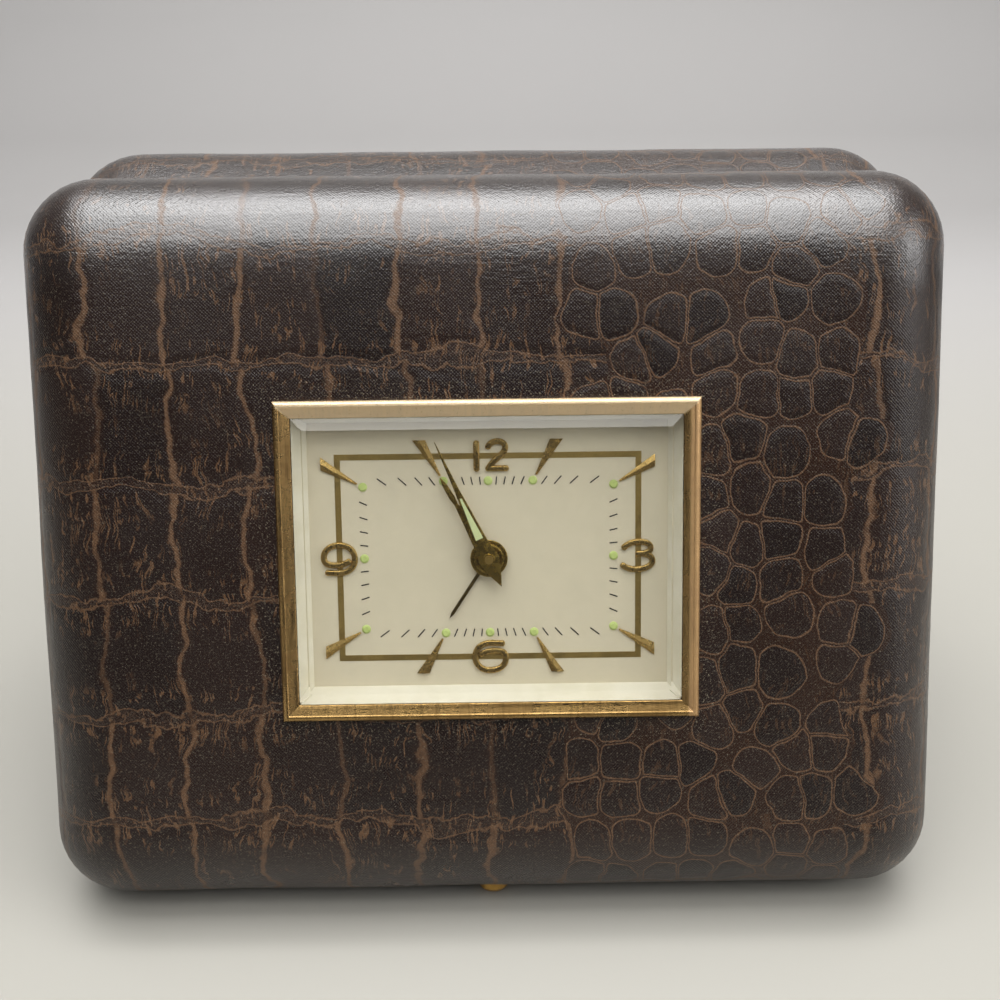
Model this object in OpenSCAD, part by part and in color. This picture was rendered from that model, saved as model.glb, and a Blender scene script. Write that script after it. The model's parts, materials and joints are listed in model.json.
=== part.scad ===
// Travel alarm clock in a clamshell case of two padded shells, standing open as an A-frame.
// Millimetres. +Z is up and -Y is the front. The origin is on the table under the middle of the case.
// Each shell has its own frame: x to the right, y up along the face with 0 at the hinge edge,
// and z out of the parting plane towards the shell's face. The clock's frame is the front shell's,
// moved to the centre of the dial.

/* [Case] */
// Width of the case
case_w = 158; // [148:1:170]
// Height of a shell from its hinge edge to its standing edge
case_h = 127; // [118:1:136]
// Depth of a shell from its rim to its face
shell_d = 24; // [23:0.5:27]
// Thickness of the board with its covering
shell_wall = 2.4; // [2.1:0.1:2.8]
// Corner radius of the outline
corner_r = 13; // [9:0.5:18]
// Radius of the soft rounding from the sides to the face
edge_round = 15; // [12:0.5:18]
// Radius on the outer edge of the rims
rim_round = 2; // [1.8:0.1:2.2]
// Distance of each rim from the parting plane
rim_gap = 0.25; // [0.2:0.05:0.4]
// Lean of each shell when the case stands open
lean = 20; // [17:1:22]
// Depth of the flat worn on the standing edges
stand_flat = 0.35; // [0.2:0.05:0.5]

/* [Linings] */
// Thickness of the lining cloth with its card
lining_t = 1; // [0.8:0.1:1.3]
// How far the linings stay below the rims
lining_drop = 1; // [0.8:0.1:2]
// Thickness of the panel round the back of the clock
panel_t = 1.6; // [1.2:0.1:1.8]
// Height of that panel above the parting plane
panel_s = 5.4; // [5.2:0.1:6]

/* [Hinge] */
// Length of the hinge
hinge_len = 120; // [90:5:125]
// Number of knuckles
knuckles = 5; // [3:2:9]
// Radius of a knuckle
knuckle_r = 1.5; // [1.4:0.05:1.6]
// Radius of the hinge pin
hinge_pin_r = 0.7; // [0.5:0.05:0.8]
// Thickness of a leaf
leaf_t = 0.9; // [0.7:0.1:1]
// Width of a leaf from the pin
leaf_w = 5; // [4.5:0.1:5.2]
// Radius of the brads that hold the leaves
brad_r = 0.5; // [0.4:0.05:0.7]

/* [Clasp] */
// Distance of the button from the parting plane
clasp_s = 11; // [10.5:0.25:11.5]
// Radius of the button
button_r = 2.65; // [2.4:0.05:2.8]
// Travel of the button
button_travel = 1.2; // [1:0.1:1.3]
// Width of the hook on the rear shell
hook_w = 6.4; // [5:0.2:7]
// Reach of the hook past the parting plane
hook_reach = 6.2; // [5.8:0.1:6.6]
// Thickness of the clasp's sheet metal
clasp_t = 0.8; // [0.6:0.1:0.9]
// Height of the hook above the underside of the shell
hook_q = 4.6; // [4.4:0.1:5]

/* [Front of the clock] */
// Drop of the dial's centre below the middle of the case
clock_drop = 1.3; // [0:0.1:4]
// Width of the bezel
bezel_w = 70; // [69:0.5:74]
// Height of the bezel
bezel_h = 53.7; // [53:0.1:58]
// Width of the bezel's bars
bezel_bar = 2.8; // [2.6:0.1:3.2]
// Height of the bezel's crest above the face
bezel_rise = 1.7; // [1.5:0.1:2.2]
// Thickness of the crystal at its edge
crystal_edge = 1.3; // [1:0.1:1.6]
// Width of the crystal's ground bevel
crystal_bevel = 2; // [1.4:0.1:3]
// Height of that bevel
crystal_rise = 0.7; // [0.4:0.1:1]
// Depth of the dial below the face of the case
dial_depth = 4.4; // [4.2:0.1:4.6]
// Thickness of the dial
dial_t = 0.5; // [0.4:0.1:0.7]

/* [Dial] */
// Distance from the crystal's side to the rectangle that the batons end on
baton_side = 4.4; // [4:0.1:6]
// Distance from the crystal's top to that rectangle
baton_top = 4.35; // [4:0.05:6]
// Distance from that rectangle in to the middle of the hour frame's line
frame_in = 2.75; // [1.5:0.05:4]
// Distance from the hour frame in to the minute track
track_in = 4.2; // [3.5:0.05:5]
// Width of the hour frame's line
frame_line = 1; // [0.6:0.1:1.4]
// Width of a baton at its outer end
baton_w = 1.9; // [1.2:0.1:2.4]
// Diameter of a luminous dot
dot_d = 1.5; // [1:0.1:2]
// Height of the numerals
numeral_h = 5; // [4:0.1:6]
// Width of a numeral's stroke
numeral_stroke = 0.85; // [0.6:0.05:1.1]

/* [Hands] */
// Time shown, in minutes after twelve
shown_minutes = 656; // [0:1:719]
// Slip of the hour hand on its pipe, in degrees
hour_slip = -1.8; // [-5:0.1:5]
// Direction of the alarm hand, in degrees clockwise from twelve
alarm_dir = 213.5; // [0:0.5:360]
// Length of the minute hand
minute_len = 21.7; // [19:0.1:22]
// Length of the hour hand
hour_len = 16; // [13:0.1:17]
// Length of the alarm hand
alarm_len = 12.5; // [10:0.1:14]

/* [Movement] */
// Space between the dial and the front plate
motion_gap = 3.15; // [3.1:0.05:3.4]
// Thickness of the plates
plate_t = 1; // [0.8:0.1:1.1]
// Space between the two plates
plate_gap = 8; // [8:0.1:8.3]
// Space behind the back plate
cover_gap = 1.4; // [1.3:0.05:1.5]
// Thickness of the back cover and of the housing
cover_t = 0.8; // [0.6:0.1:0.9]
// Radius of the centre arbor
centre_r = 0.7; // [0.6:0.05:0.75]
// Running clearance of the pivots
run = 0.04; // [0.02:0.01:0.08]
// Module of the barrel wheel and the centre pinion
mod_great = 0.45; // [0.42:0.01:0.46]
// Module of the centre wheel and the third pinion
mod_centre = 0.3; // [0.28:0.01:0.31]
// Module of the third wheel and the fourth pinion
mod_third = 0.24; // [0.22:0.01:0.25]
// Module of the fourth wheel and the escape pinion
mod_fourth = 0.22; // [0.2:0.01:0.23]
// Module of the alarm barrel wheel and the strike pinion
mod_strike = 0.4; // [0.38:0.01:0.41]
// Module of the cannon pinion and the minute wheel
mod_motion = 0.35; // [0.33:0.01:0.36]
// Module of the alarm wheel and its setting pinion
mod_set = 0.46; // [0.45:0.01:0.48]

/* [Keys and knobs] */
// Span of a winding key
key_span = 13; // [10:0.5:15]
// Thickness of a winding key's wings
key_t = 1.2; // [0.8:0.1:1.6]
// Radius of a setting knob
knob_r = 3.6; // [3:0.1:4.2]

/* [Hidden] */
$fn = 48;
eps = 0.01;
thin = 0.02;

face_s = rim_gap + shell_d;
hinge_drop = shell_wall + leaf_t - knuckle_r;
arc_s = rim_gap + rim_round;
axis_z = (case_h - rim_round - hinge_drop) * cos(lean) - arc_s * sin(lean) + rim_round - stand_flat;

skirt_gap = 0.2;
skirt_t = 0.7;
seat_gap = 0.1;
open_w = bezel_w - 2 * bezel_bar;
open_h = bezel_h - 2 * bezel_bar;
crystal_w = open_w + 0.6;
crystal_h = open_h + 0.6;
seat_w = crystal_w + 2 * seat_gap;
seat_h = crystal_h + 2 * seat_gap;
skirt_w = seat_w + 2 * skirt_t;
skirt_h = seat_h + 2 * skirt_t;
window_w = skirt_w + 2 * skirt_gap;
window_h = skirt_h + 2 * skirt_gap;
housing_w = window_w + 2 * cover_t;
housing_h = window_h + 2 * cover_t;
lip_s = face_s + 0.8;
crystal_s = lip_s - crystal_edge;

dial_s = face_s - dial_depth;
dial_back_s = dial_s - dial_t;
front_plate_s = dial_back_s - motion_gap;
gap_front_s = front_plate_s - plate_t;
gap_back_s = gap_front_s - plate_gap;
back_plate_s = gap_back_s - plate_t;
cover_in_s = back_plate_s - cover_gap;
cover_s = cover_in_s - cover_t;
tab_t = 0.8;
tab_w = 6;
tab_x = 15;

baton_a = crystal_w / 2 - baton_side;
baton_b = crystal_h / 2 - baton_top;
frame_a = baton_a - frame_in;
frame_b = baton_b - frame_in;
track_a = frame_a - track_in;
track_b = frame_b - track_in;

minute_a = -6 * (shown_minutes % 60);
hour_a = -shown_minutes / 2 + hour_slip;

// Teeth: wheel and pinion of each pair.
great_z = 60;
centre_pinion_z = 10;
centre_z = 64;
third_pinion_z = 8;
third_z = 60;
fourth_pinion_z = 8;
fourth_z = 60;
escape_pinion_z = 6;
escape_z = 15;
strike_great_z = 52;
strike_pinion_z = 8;
strike_z = 11;
cannon_z = 12;
minute_z = 36;
minute_pinion_z = 10;
hour_z = 40;
set_pinion_z = 10;
alarm_z = 40;
ratchet_z = 18;

function centres(za, zb, m) = (za + zb) * m / 2;
function polar(r, a) = [r * cos(a), r * sin(a)];

// Directions from one arbor to the next, chosen so that every wheel clears the others.
barrel_dir = 210;
third_dir = 115;
fourth_dir = 20;
escape_dir = 5;
balance_dir = -8;
strike_dir = 195;
minute_dir = 200;
set_dir = 20;
fork_link = 5.8;
balance_link = 8.2;
balance_full_r = 6.8;
impulse_r = 1.2;
open_link = 0.3;

// The whole plan is drawn smaller where a narrow bezel leaves the balance less room beside the train.
plan_reach = centres(centre_z, third_pinion_z, mod_centre) * cos(third_dir)
    + centres(third_z, fourth_pinion_z, mod_third) * cos(fourth_dir)
    + centres(fourth_z, escape_pinion_z, mod_fourth) * cos(escape_dir)
    + (fork_link + balance_link) * cos(balance_dir) + balance_full_r;
fit = min(1, (crystal_w - 1) / 2 / plan_reach);
m_great = mod_great * fit;
m_centre = mod_centre * fit;
m_third = mod_third * fit;
m_fourth = mod_fourth * fit;
m_strike = mod_strike * fit;
m_motion = mod_motion * fit;
m_set = mod_set * fit;
m_hour = 2 * centres(cannon_z, minute_z, m_motion) / (minute_pinion_z + hour_z);
escape_to_fork = fork_link * fit;
fork_to_balance = balance_link * fit;
balance_r = balance_full_r * fit;
escape_r = 4.4 * fit;
strike_r = 3.4 * fit;
strike_to_hammer = 5.6 * fit;
time_drum_r = 11.4 * fit;
alarm_drum_r = 8.2 * fit;

barrel_at = polar(centres(great_z, centre_pinion_z, m_great), barrel_dir);
third_at = polar(centres(centre_z, third_pinion_z, m_centre), third_dir);
fourth_at = third_at + polar(centres(third_z, fourth_pinion_z, m_third), fourth_dir);
escape_at = fourth_at + polar(centres(fourth_z, escape_pinion_z, m_fourth), escape_dir);
fork_at = escape_at + polar(escape_to_fork, balance_dir);
balance_at = fork_at + polar(fork_to_balance, balance_dir);
alarm_barrel_at = [16.5, -8.5] * fit;
strike_at = alarm_barrel_at + polar(centres(strike_great_z, strike_pinion_z, m_strike), strike_dir);
hammer_at = strike_at - [0, strike_to_hammer];
minute_at = polar(centres(cannon_z, minute_z, m_motion), minute_dir);
set_at = polar(centres(alarm_z, set_pinion_z, m_set), set_dir);
stop_at = [-6, hammer_at[1] - 3.6];
stop_travel = 4;
pillar_in = 4;
pillar_x = crystal_w / 2 - pillar_in;
pillar_y = crystal_h / 2 - pillar_in + 0.15;
PILLARS = [[-pillar_x, -pillar_y], [pillar_x, -pillar_y], [-pillar_x, pillar_y], [pillar_x, pillar_y]];

// Levels of the wheels, measured from the back plate's front.
drum_h = 4.2;
drum_s = gap_back_s + 0.6;
great_s = drum_s + drum_h;
great_t = 0.8;
slow_s = gap_front_s - 1.4;
fast_s = gap_back_s + 1.8;
wheel_t = 0.6;
fourth_s = gap_back_s + 5.2;
fork_s = fast_s + 0.7;
fork_t = 0.5;
roller_s = fork_s + fork_t + 0.7;
rim_s = roller_s + 1;
minute_s = front_plate_s + 0.4;
hour_s = minute_s + 0.85;
alarm_s = hour_s + 1.1;
ratchet_s = cover_in_s + 0.3;
ratchet_t = 0.8;
ratchet_r = 4.5;

cannon_r = centre_r + 0.3;
hour_pipe_in = cannon_r + 0.05;
hour_pipe_out = hour_pipe_in + 0.45;
alarm_pipe_in = hour_pipe_out + 0.05;
alarm_pipe_out = alarm_pipe_in + 0.45;
alarm_hand_s = dial_s + 0.5;
hour_hand_s = dial_s + 1.35;
minute_hand_s = dial_s + 2.25;
hand_t = 0.3;
pivot_r = 0.3;
arbor_r = 0.5;
post_r = 0.8;
drum_arbor_r = 1.2;
knob_top_s = 0.2;
knob_h = 3;

// Frames of the parts.
module place_front() {
    translate([0, 0, axis_z]) rotate([90 - lean, 0, 0]) translate([0, hinge_drop, 0]) children();
}

module place_rear() {
    rotate([0, 0, 180]) place_front() children();
}

module place_clock() {
    place_front() translate([0, -case_h / 2 - clock_drop, 0]) children();
}

module at(p, s) {
    translate([p[0], p[1], s]) children();
}

// The clasp's own frame has y = 0 on the underside of the shell.
module at_clasp() {
    translate([0, -case_h, 0]) children();
}

// Shared shapes.
module rounded(w, h, r) {
    square([w - 2 * r, h], center = true);
    square([w, h - 2 * r], center = true);
    for (x = [-1, 1], y = [-1, 1]) translate([x * (w / 2 - r), y * (h / 2 - r)]) circle(r);
}

module block(w, h, t) {
    translate([-w / 2, -h / 2, 0]) cube([w, h, t]);
}

module disc(r, t) {
    cylinder(r = r, h = t);
}

module ring(r_out, r_in, t) {
    difference() {
        cylinder(r = r_out, h = t);
        translate([0, 0, -eps]) cylinder(r = r_in, h = t + 2 * eps);
    }
}

function bez(a, b, c, d, n) = [for (i = [1:n]) let (t = i / n, u = 1 - t)
    u * u * u * a + 3 * u * u * t * b + 3 * u * t * t * c + t * t * t * d];

function unit(v) = v / norm(v);

function side(pts, i) = let (n = len(pts), d = unit(pts[min(i + 1, n - 1)] - pts[max(i - 1, 0)])) [-d[1], d[0]];

// A stroke of even width along a line of points.
module stroke(pts, w) {
    n = len(pts);
    polygon(concat(
        [for (i = [0:n - 1]) pts[i] + side(pts, i) * w / 2],
        [for (i = [n - 1:-1:0]) pts[i] - side(pts, i) * w / 2]));
}

// Case.
function level_r(inset) = max(corner_r - 0.8 * inset, 2);

// Rounded outline of a shell at an inset, as a ring of points at a level.
corner_steps = 8;
function outline(inset, s) = let (r = level_r(inset)) [for (q = [0:3], i = [0:corner_steps])
    let (a = 90 * (q + i / corner_steps), x = q == 0 || q == 3 ? 1 : -1, y = q < 2 ? 1 : -1)
    [x * (case_w / 2 - inset - r) + r * cos(a), -case_h / 2 + y * (case_h / 2 - inset - r) + r * sin(a), s]];

// Solid through a list of levels, each an inset and a height.
module loft(levels) {
    n = 4 * (corner_steps + 1);
    k = len(levels);
    polyhedron([for (l = levels) each outline(l[0], l[1])],
        concat([[for (i = [0:n - 1]) i]], [[for (i = [n - 1:-1:0]) (k - 1) * n + i]],
            [for (j = [0:k - 2], i = [0:n - 1]) let (a = j * n + i, b = j * n + (i + 1) % n)
                each [[a, b + n, b], [a, a + n, b + n]]]));
}

// Outside of a shell: rounded rim, straight side and soft rounding to the face.
module shell_outside() {
    loft(concat([for (a = [0:22.5:90]) [rim_round * (1 - sin(a)), rim_gap + rim_round * (1 - cos(a))]],
        [for (a = [0:11.25:90]) [edge_round * (1 - cos(a)), face_s - edge_round * (1 - sin(a))]]));
}

// Inside of a shell at a depth under its outside, from a level s0.
module shell_inside(deep, s0) {
    r = edge_round - deep;
    loft(concat([[deep, s0]], [for (a = [0:11.25:90]) [deep + r * (1 - cos(a)), face_s - deep - r * (1 - sin(a))]]));
}

module table_cut() {
    translate([-case_w, -case_w, -2 * rim_round]) cube([2 * case_w, 2 * case_w, 2 * rim_round]);
}

brad_xs = [for (i = [-2:2]) i * hinge_len * 0.2];
brad_s = (knuckle_r + leaf_w) / 2 + 0.4;
brad_depth = 1.2;

module hinge_clearance() {
    gap = 0.35;
    translate([0, -hinge_drop, 0]) rotate([0, 90, 0])
        cylinder(r = knuckle_r + gap, h = hinge_len + 2.4, center = true);
    for (x = brad_xs) translate([x, -shell_wall - eps, brad_s]) rotate([-90, 0, 0])
        cylinder(r = brad_r, h = brad_depth + eps);
}

module shell() {
    difference() {
        shell_outside();
        shell_inside(shell_wall, -1);
        hinge_clearance();
    }
}

module front_shell() color("#2f211d") difference() {
    place_front() difference() {
        shell();
        translate([0, -case_h / 2 - clock_drop, face_s - 2 * shell_wall]) block(window_w, window_h, 3 * shell_wall);
        at_clasp() translate([0, -2, clasp_s]) rotate([-90, 0, 0]) cylinder(r = button_r + 0.1, h = 8);
    }
    table_cut();
}

module rear_shell() color("#2f211d") difference() {
    place_rear() shell();
    table_cut();
}

module straight(inset, s0, s1) {
    loft([[inset, s0], [inset, s1]]);
}

module leaf_room() {
    translate([-hinge_len / 2 - 1, -shell_wall - leaf_t - 0.4, -1])
        cube([hinge_len + 2, leaf_t + 1, leaf_w + 1.3]);
}

module clasp_room() {
    at_clasp() translate([-12.5, 0, -1]) cube([25, 14, panel_s + panel_t + 2]);
}

module front_lining() color("#6d1f2a") place_front() difference() {
    straight(shell_wall, rim_gap + lining_drop, panel_s);
    straight(shell_wall + lining_t, rim_gap, panel_s + 1);
    leaf_room();
    clasp_room();
}

module front_panel() color("#6d1f2a") place_front() difference() {
    straight(shell_wall, panel_s, panel_s + panel_t);
    translate([0, -case_h / 2 - clock_drop, 0]) block(housing_w + 0.6, housing_h + 0.6, 2 * panel_s);
    leaf_room();
    clasp_room();
}

module rear_lining() color("#6d1f2a") place_rear() difference() {
    shell_inside(shell_wall, rim_gap + lining_drop);
    shell_inside(shell_wall + lining_t, -1);
    leaf_room();
    at_clasp() translate([-hook_w, 0, -1]) cube([2 * hook_w, 7, 11]);
}

// Hinge.
knuckle_len = hinge_len / knuckles;
knuckle_gap = 0.15;

module leaf(first) {
    start = knuckle_r + 0.35;
    y0 = -hinge_drop - knuckle_r;
    difference() {
        union() {
            translate([-hinge_len / 2, y0, start]) cube([hinge_len, leaf_t, leaf_w - start]);
            for (i = [first:2:knuckles - 1]) translate([-hinge_len / 2 + i * knuckle_len + knuckle_gap, 0, 0]) {
                translate([0, y0, 0]) cube([knuckle_len - 2 * knuckle_gap, leaf_t, start + eps]);
                translate([0, -hinge_drop, 0]) rotate([0, 90, 0])
                    cylinder(r = knuckle_r, h = knuckle_len - 2 * knuckle_gap);
            }
        }
        translate([-hinge_len, -hinge_drop, 0]) rotate([0, 90, 0])
            cylinder(r = hinge_pin_r + (first == 0 ? 0 : run), h = 2 * hinge_len);
        for (x = brad_xs) translate([x, y0 - 1, brad_s]) rotate([-90, 0, 0]) cylinder(r = brad_r, h = 4);
    }
}

module brads() {
    for (x = brad_xs) translate([x, -shell_wall - leaf_t, brad_s]) rotate([-90, 0, 0]) {
        cylinder(r = brad_r, h = leaf_t + brad_depth);
        translate([0, 0, -0.4]) cylinder(r1 = brad_r, r2 = 2 * brad_r, h = 0.4);
    }
}

module hinge_leaf_front() color("#b9b4a6") place_front() leaf(0);
module hinge_leaf_rear() color("#b9b4a6") place_rear() leaf(1);
module hinge_brads_front() color("#d8d2c0") place_front() brads();
module hinge_brads_rear() color("#d8d2c0") place_rear() brads();

module hinge_pin() color("#8f8b82") place_front()
    translate([-hinge_len / 2 - 0.5, -hinge_drop, 0]) rotate([0, 90, 0]) {
    cylinder(r = hinge_pin_r, h = hinge_len + 1);
    cylinder(r = 1.1, h = 0.5);
    translate([0, 0, hinge_len + 0.5]) cylinder(r = 1.1, h = 0.5);
}

// Clasp: a sprung yoke with a button under the front shell holds the rear shell's hook.
hook_t = clasp_t;
barb_h = button_travel;
bar_q = hook_q + hook_t + 0.3;
barb_w = 1.2;
bar_s = hook_reach - barb_w - 0.2;
bar_w = 1.2;
yoke_q = hook_q + hook_t + barb_h + 1.3;
yoke_w = 11.6;
roof_q = yoke_q + clasp_t + 3;
rail_x = yoke_w / 2 + 0.4;
rail_len = 6.6;
rail_s = 2.6;

module clasp_button() color("#b08d3e") place_front() at_clasp() {
    translate([0, -button_travel - 0.1, clasp_s]) rotate([-90, 0, 0]) {
        cylinder(r1 = button_r - 0.4, r2 = button_r, h = 0.5);
        translate([0, 0, 0.5]) cylinder(r = button_r, h = yoke_q + button_travel + 0.1 - 0.5);
    }
    translate([-yoke_w / 2, yoke_q, bar_s - bar_w]) cube([yoke_w, clasp_t, clasp_s + button_r - bar_s + bar_w]);
    translate([-hook_w / 2 + 0.2, bar_q, bar_s - bar_w]) cube([hook_w - 0.4, yoke_q - bar_q + eps, bar_w]);
}

module clasp_guide() color("#a8843a") place_front() at_clasp() {
    for (x = [-1, 1]) {
        translate([x > 0 ? rail_x : -rail_x - clasp_t, shell_wall, rail_s])
            cube([clasp_t, roof_q + clasp_t - shell_wall, rail_len]);
        translate([x > 0 ? rail_x : -rail_x - 4, shell_wall, rail_s]) cube([4, clasp_t, rail_len]);
        translate([x * (rail_x + 2.4), shell_wall + clasp_t - eps, rail_s + rail_len / 2]) rotate([-90, 0, 0])
            cylinder(r1 = 1, r2 = 0.5, h = 0.5);
    }
    translate([-rail_x - clasp_t, roof_q, rail_s]) cube([2 * (rail_x + clasp_t), clasp_t, clasp_s + 3 - rail_s]);
}

// Coil of round wire along z.
function helix(r, h, turns, steps) = [for (i = [0:turns * steps]) let (a = 360 * i / steps)
    [r * cos(a), r * sin(a), h * i / (turns * steps)]];

module tube(pts, wire, sides) {
    n = len(pts);
    rings = [for (i = [0:n - 1])
        let (d = unit(pts[min(i + 1, n - 1)] - pts[max(i - 1, 0)]),
            u = unit([pts[i][0], pts[i][1], 0]), w = cross(d, u))
        for (k = [0:sides - 1]) pts[i] + wire * (cos(360 * k / sides) * u + sin(360 * k / sides) * w)];
    walls = [for (i = [0:n - 2], k = [0:sides - 1]) let (a = i * sides + k, b = i * sides + (k + 1) % sides)
        each [[a, b, b + sides], [a, b + sides, a + sides]]];
    polyhedron(rings, concat(walls, [[for (k = [sides - 1:-1:0]) k]],
        [[for (k = [0:sides - 1]) (n - 1) * sides + k]]));
}

wire_r = 0.25;
coil_turns = 2;
coil_steps = 16;
coil = helix(1.8, roof_q - yoke_q - clasp_t - 2 * wire_r, coil_turns, coil_steps);
coil_gap = min([for (i = [0:len(coil) - 1], j = [i + floor(coil_steps / 2):1:len(coil) - 1]) norm(coil[i] - coil[j])])
    - 2 * wire_r;
echo(str("Least gap between the turns of clasp_spring: ", coil_gap, " mm"));
module clasp_spring() color("#9a9a9a") place_front() at_clasp() {
    translate([0, yoke_q + clasp_t + wire_r, clasp_s]) rotate([-90, 0, 0]) tube(coil, wire_r, 6);
}

module catch_hook() color("#b08d3e") place_rear() at_clasp() {
    translate([-hook_w / 2 - 2, shell_wall, 1]) cube([hook_w + 4, clasp_t, 7]);
    translate([-hook_w / 2, shell_wall, 1]) cube([hook_w, hook_q + hook_t - shell_wall, clasp_t]);
    translate([hook_w / 2, hook_q, 1 + clasp_t]) rotate([0, -90, 0]) linear_extrude(hook_w)
        polygon([[0, 0], [-hook_reach - 1 - clasp_t, 0], [-hook_reach - 1 - clasp_t, hook_t],
            [-hook_reach + barb_w - 1 - clasp_t - 0.3, hook_t + barb_h - 0.1],
            [-hook_reach + barb_w - 1 - clasp_t, hook_t + barb_h - 0.1],
            [-hook_reach + barb_w - 1 - clasp_t, hook_t], [0, hook_t]]);
    for (x = [-1, 1]) translate([x * hook_w / 2, shell_wall + clasp_t, 5.5]) rotate([-90, 0, 0])
        cylinder(r1 = 1, r2 = 0.5, h = 0.5);
}

// Front of the clock.
module frustum(w0, h0, s0, w1, h1, s1) {
    hull() {
        translate([0, 0, s0]) block(w0, h0, thin);
        translate([0, 0, s1 - thin]) block(w1, h1, thin);
    }
}

module bezel() color("#a98246") place_clock() {
    crest_in = 0.9;
    side_h = 0.9;
    inner_h = 1.1;
    difference() {
        union() {
            translate([0, 0, face_s]) block(bezel_w, bezel_h, side_h);
            frustum(bezel_w, bezel_h, face_s + side_h - thin, bezel_w - 2 * crest_in, bezel_h - 2 * crest_in,
                face_s + bezel_rise);
        }
        frustum(open_w, open_h, face_s + inner_h, bezel_w - 2 * crest_in - 0.2, bezel_h - 2 * crest_in - 0.2,
            face_s + bezel_rise + 2 * thin);
        translate([0, 0, face_s - 1]) block(open_w, open_h, 4);
        translate([0, 0, face_s - eps]) block(seat_w, seat_h, lip_s - face_s + eps);
    }
    difference() {
        translate([0, 0, gap_front_s - tab_t]) block(skirt_w, skirt_h, face_s - gap_front_s + tab_t);
        translate([0, 0, gap_front_s - 1]) block(seat_w, seat_h, shell_d);
    }
    for (x = [-1, 1], y = [-1, 1])
        translate([x * tab_x - tab_w / 2, y > 0 ? seat_h / 2 - 1.2 : -seat_h / 2 - skirt_t, gap_front_s - tab_t])
            cube([tab_w, 1.2 + skirt_t, tab_t]);
}

module crystal() color("#dfe8e4", 0.35) place_clock() {
    translate([0, 0, crystal_s]) block(crystal_w, crystal_h, crystal_edge);
    frustum(open_w - 0.2, open_h - 0.2, lip_s - thin, open_w - 2 * crystal_bevel, open_h - 2 * crystal_bevel,
        lip_s + crystal_rise);
}

surround_t = 1.2;
module dial_surround() color("#c9c6ae") place_clock() difference() {
    translate([0, 0, dial_s]) block(crystal_w, crystal_h, crystal_s - dial_s);
    translate([0, 0, dial_s - 1]) block(crystal_w - 2 * surround_t, crystal_h - 2 * surround_t, 10);
}

module dial() color("#c8c3ae") place_clock() difference() {
    translate([0, 0, dial_back_s]) block(crystal_w, crystal_h, dial_t);
    translate([0, 0, dial_back_s - 1]) disc(alarm_pipe_out + 0.2, 3);
}

print_t = 0.06;
module hour_frame() color("#9d7f3c") place_clock() translate([0, 0, dial_s]) difference() {
    block(2 * frame_a + frame_line, 2 * frame_b + frame_line, print_t);
    translate([0, 0, -1]) block(2 * frame_a - frame_line, 2 * frame_b - frame_line, 3);
}

// Where a ray at an hour's direction meets a rectangle of half sizes a and b.
function on_rect(dir, a, b) = let (s = abs(sin(dir)), c = abs(cos(dir)))
    (s * b > c * a ? a / s : b / c) * [sin(dir), cos(dir)];

tick_len = 1.35;
tick_w = 0.2;
module minute_track() color("#1c1a18") place_clock() translate([0, 0, dial_s])
    for (m = [1:59]) if (m % 5 > 0) {
        p = on_rect(6 * m, track_a, track_b);
        long = on_rect(6 * m, track_a + tick_len / 2, track_b + tick_len / 2) - p;
        translate([p[0], p[1], 0]) rotate([0, 0, -6 * m]) block(tick_w, 2 * min(norm(long), 0.95), print_t);
    }

module luminous_dots() color("#b6c765") place_clock() for (h = [1:12]) {
    p = on_rect(30 * h, track_a, track_b);
    at(p, dial_s) {
        disc(dot_d / 2, 0.12);
        translate([0, 0, 0.12]) cylinder(r1 = dot_d / 2, r2 = dot_d / 2 - 0.3, h = 0.2);
    }
}

// A wedge that widens outwards from its dot and is cut off along the hour frame's side, with a roof ridge.
module baton(h) {
    dir = 30 * h;
    p = on_rect(dir, track_a, track_b);
    q = on_rect(dir, baton_a, baton_b);
    d = unit(q - p);
    inner = p + d * (dot_d / 2 + 0.35);
    flat_side = abs(sin(dir)) * baton_b < abs(cos(dir)) * baton_a;
    cut = flat_side ? [baton_w / 2 / abs(d[1]), 0] : [0, baton_w / 2 / abs(d[0])];
    n = [-d[1], d[0]] * 0.15;
    s = cut * (cut * n > 0 ? 1 : -1);
    base = 0.06;
    high = 0.55;
    pts = [inner - n, inner + n, q + s, q - s];
    polyhedron(concat([for (p = pts) [p[0], p[1], dial_s + base]], [for (p = pts) [p[0], p[1], dial_s + base + 0.2]],
            [[inner[0], inner[1], dial_s + base + 0.35], [q[0], q[1], dial_s + base + high]]),
        [[3, 2, 1, 0], [0, 1, 5, 4], [1, 2, 6, 5], [2, 3, 7, 6], [3, 0, 4, 7], [4, 5, 8], [5, 6, 9, 8], [6, 7, 9],
            [7, 4, 8, 9]]);
}

module hour_batons() color("#a9823c") place_clock() for (h = [1, 2, 4, 5, 7, 8, 10, 11]) baton(h);

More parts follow.
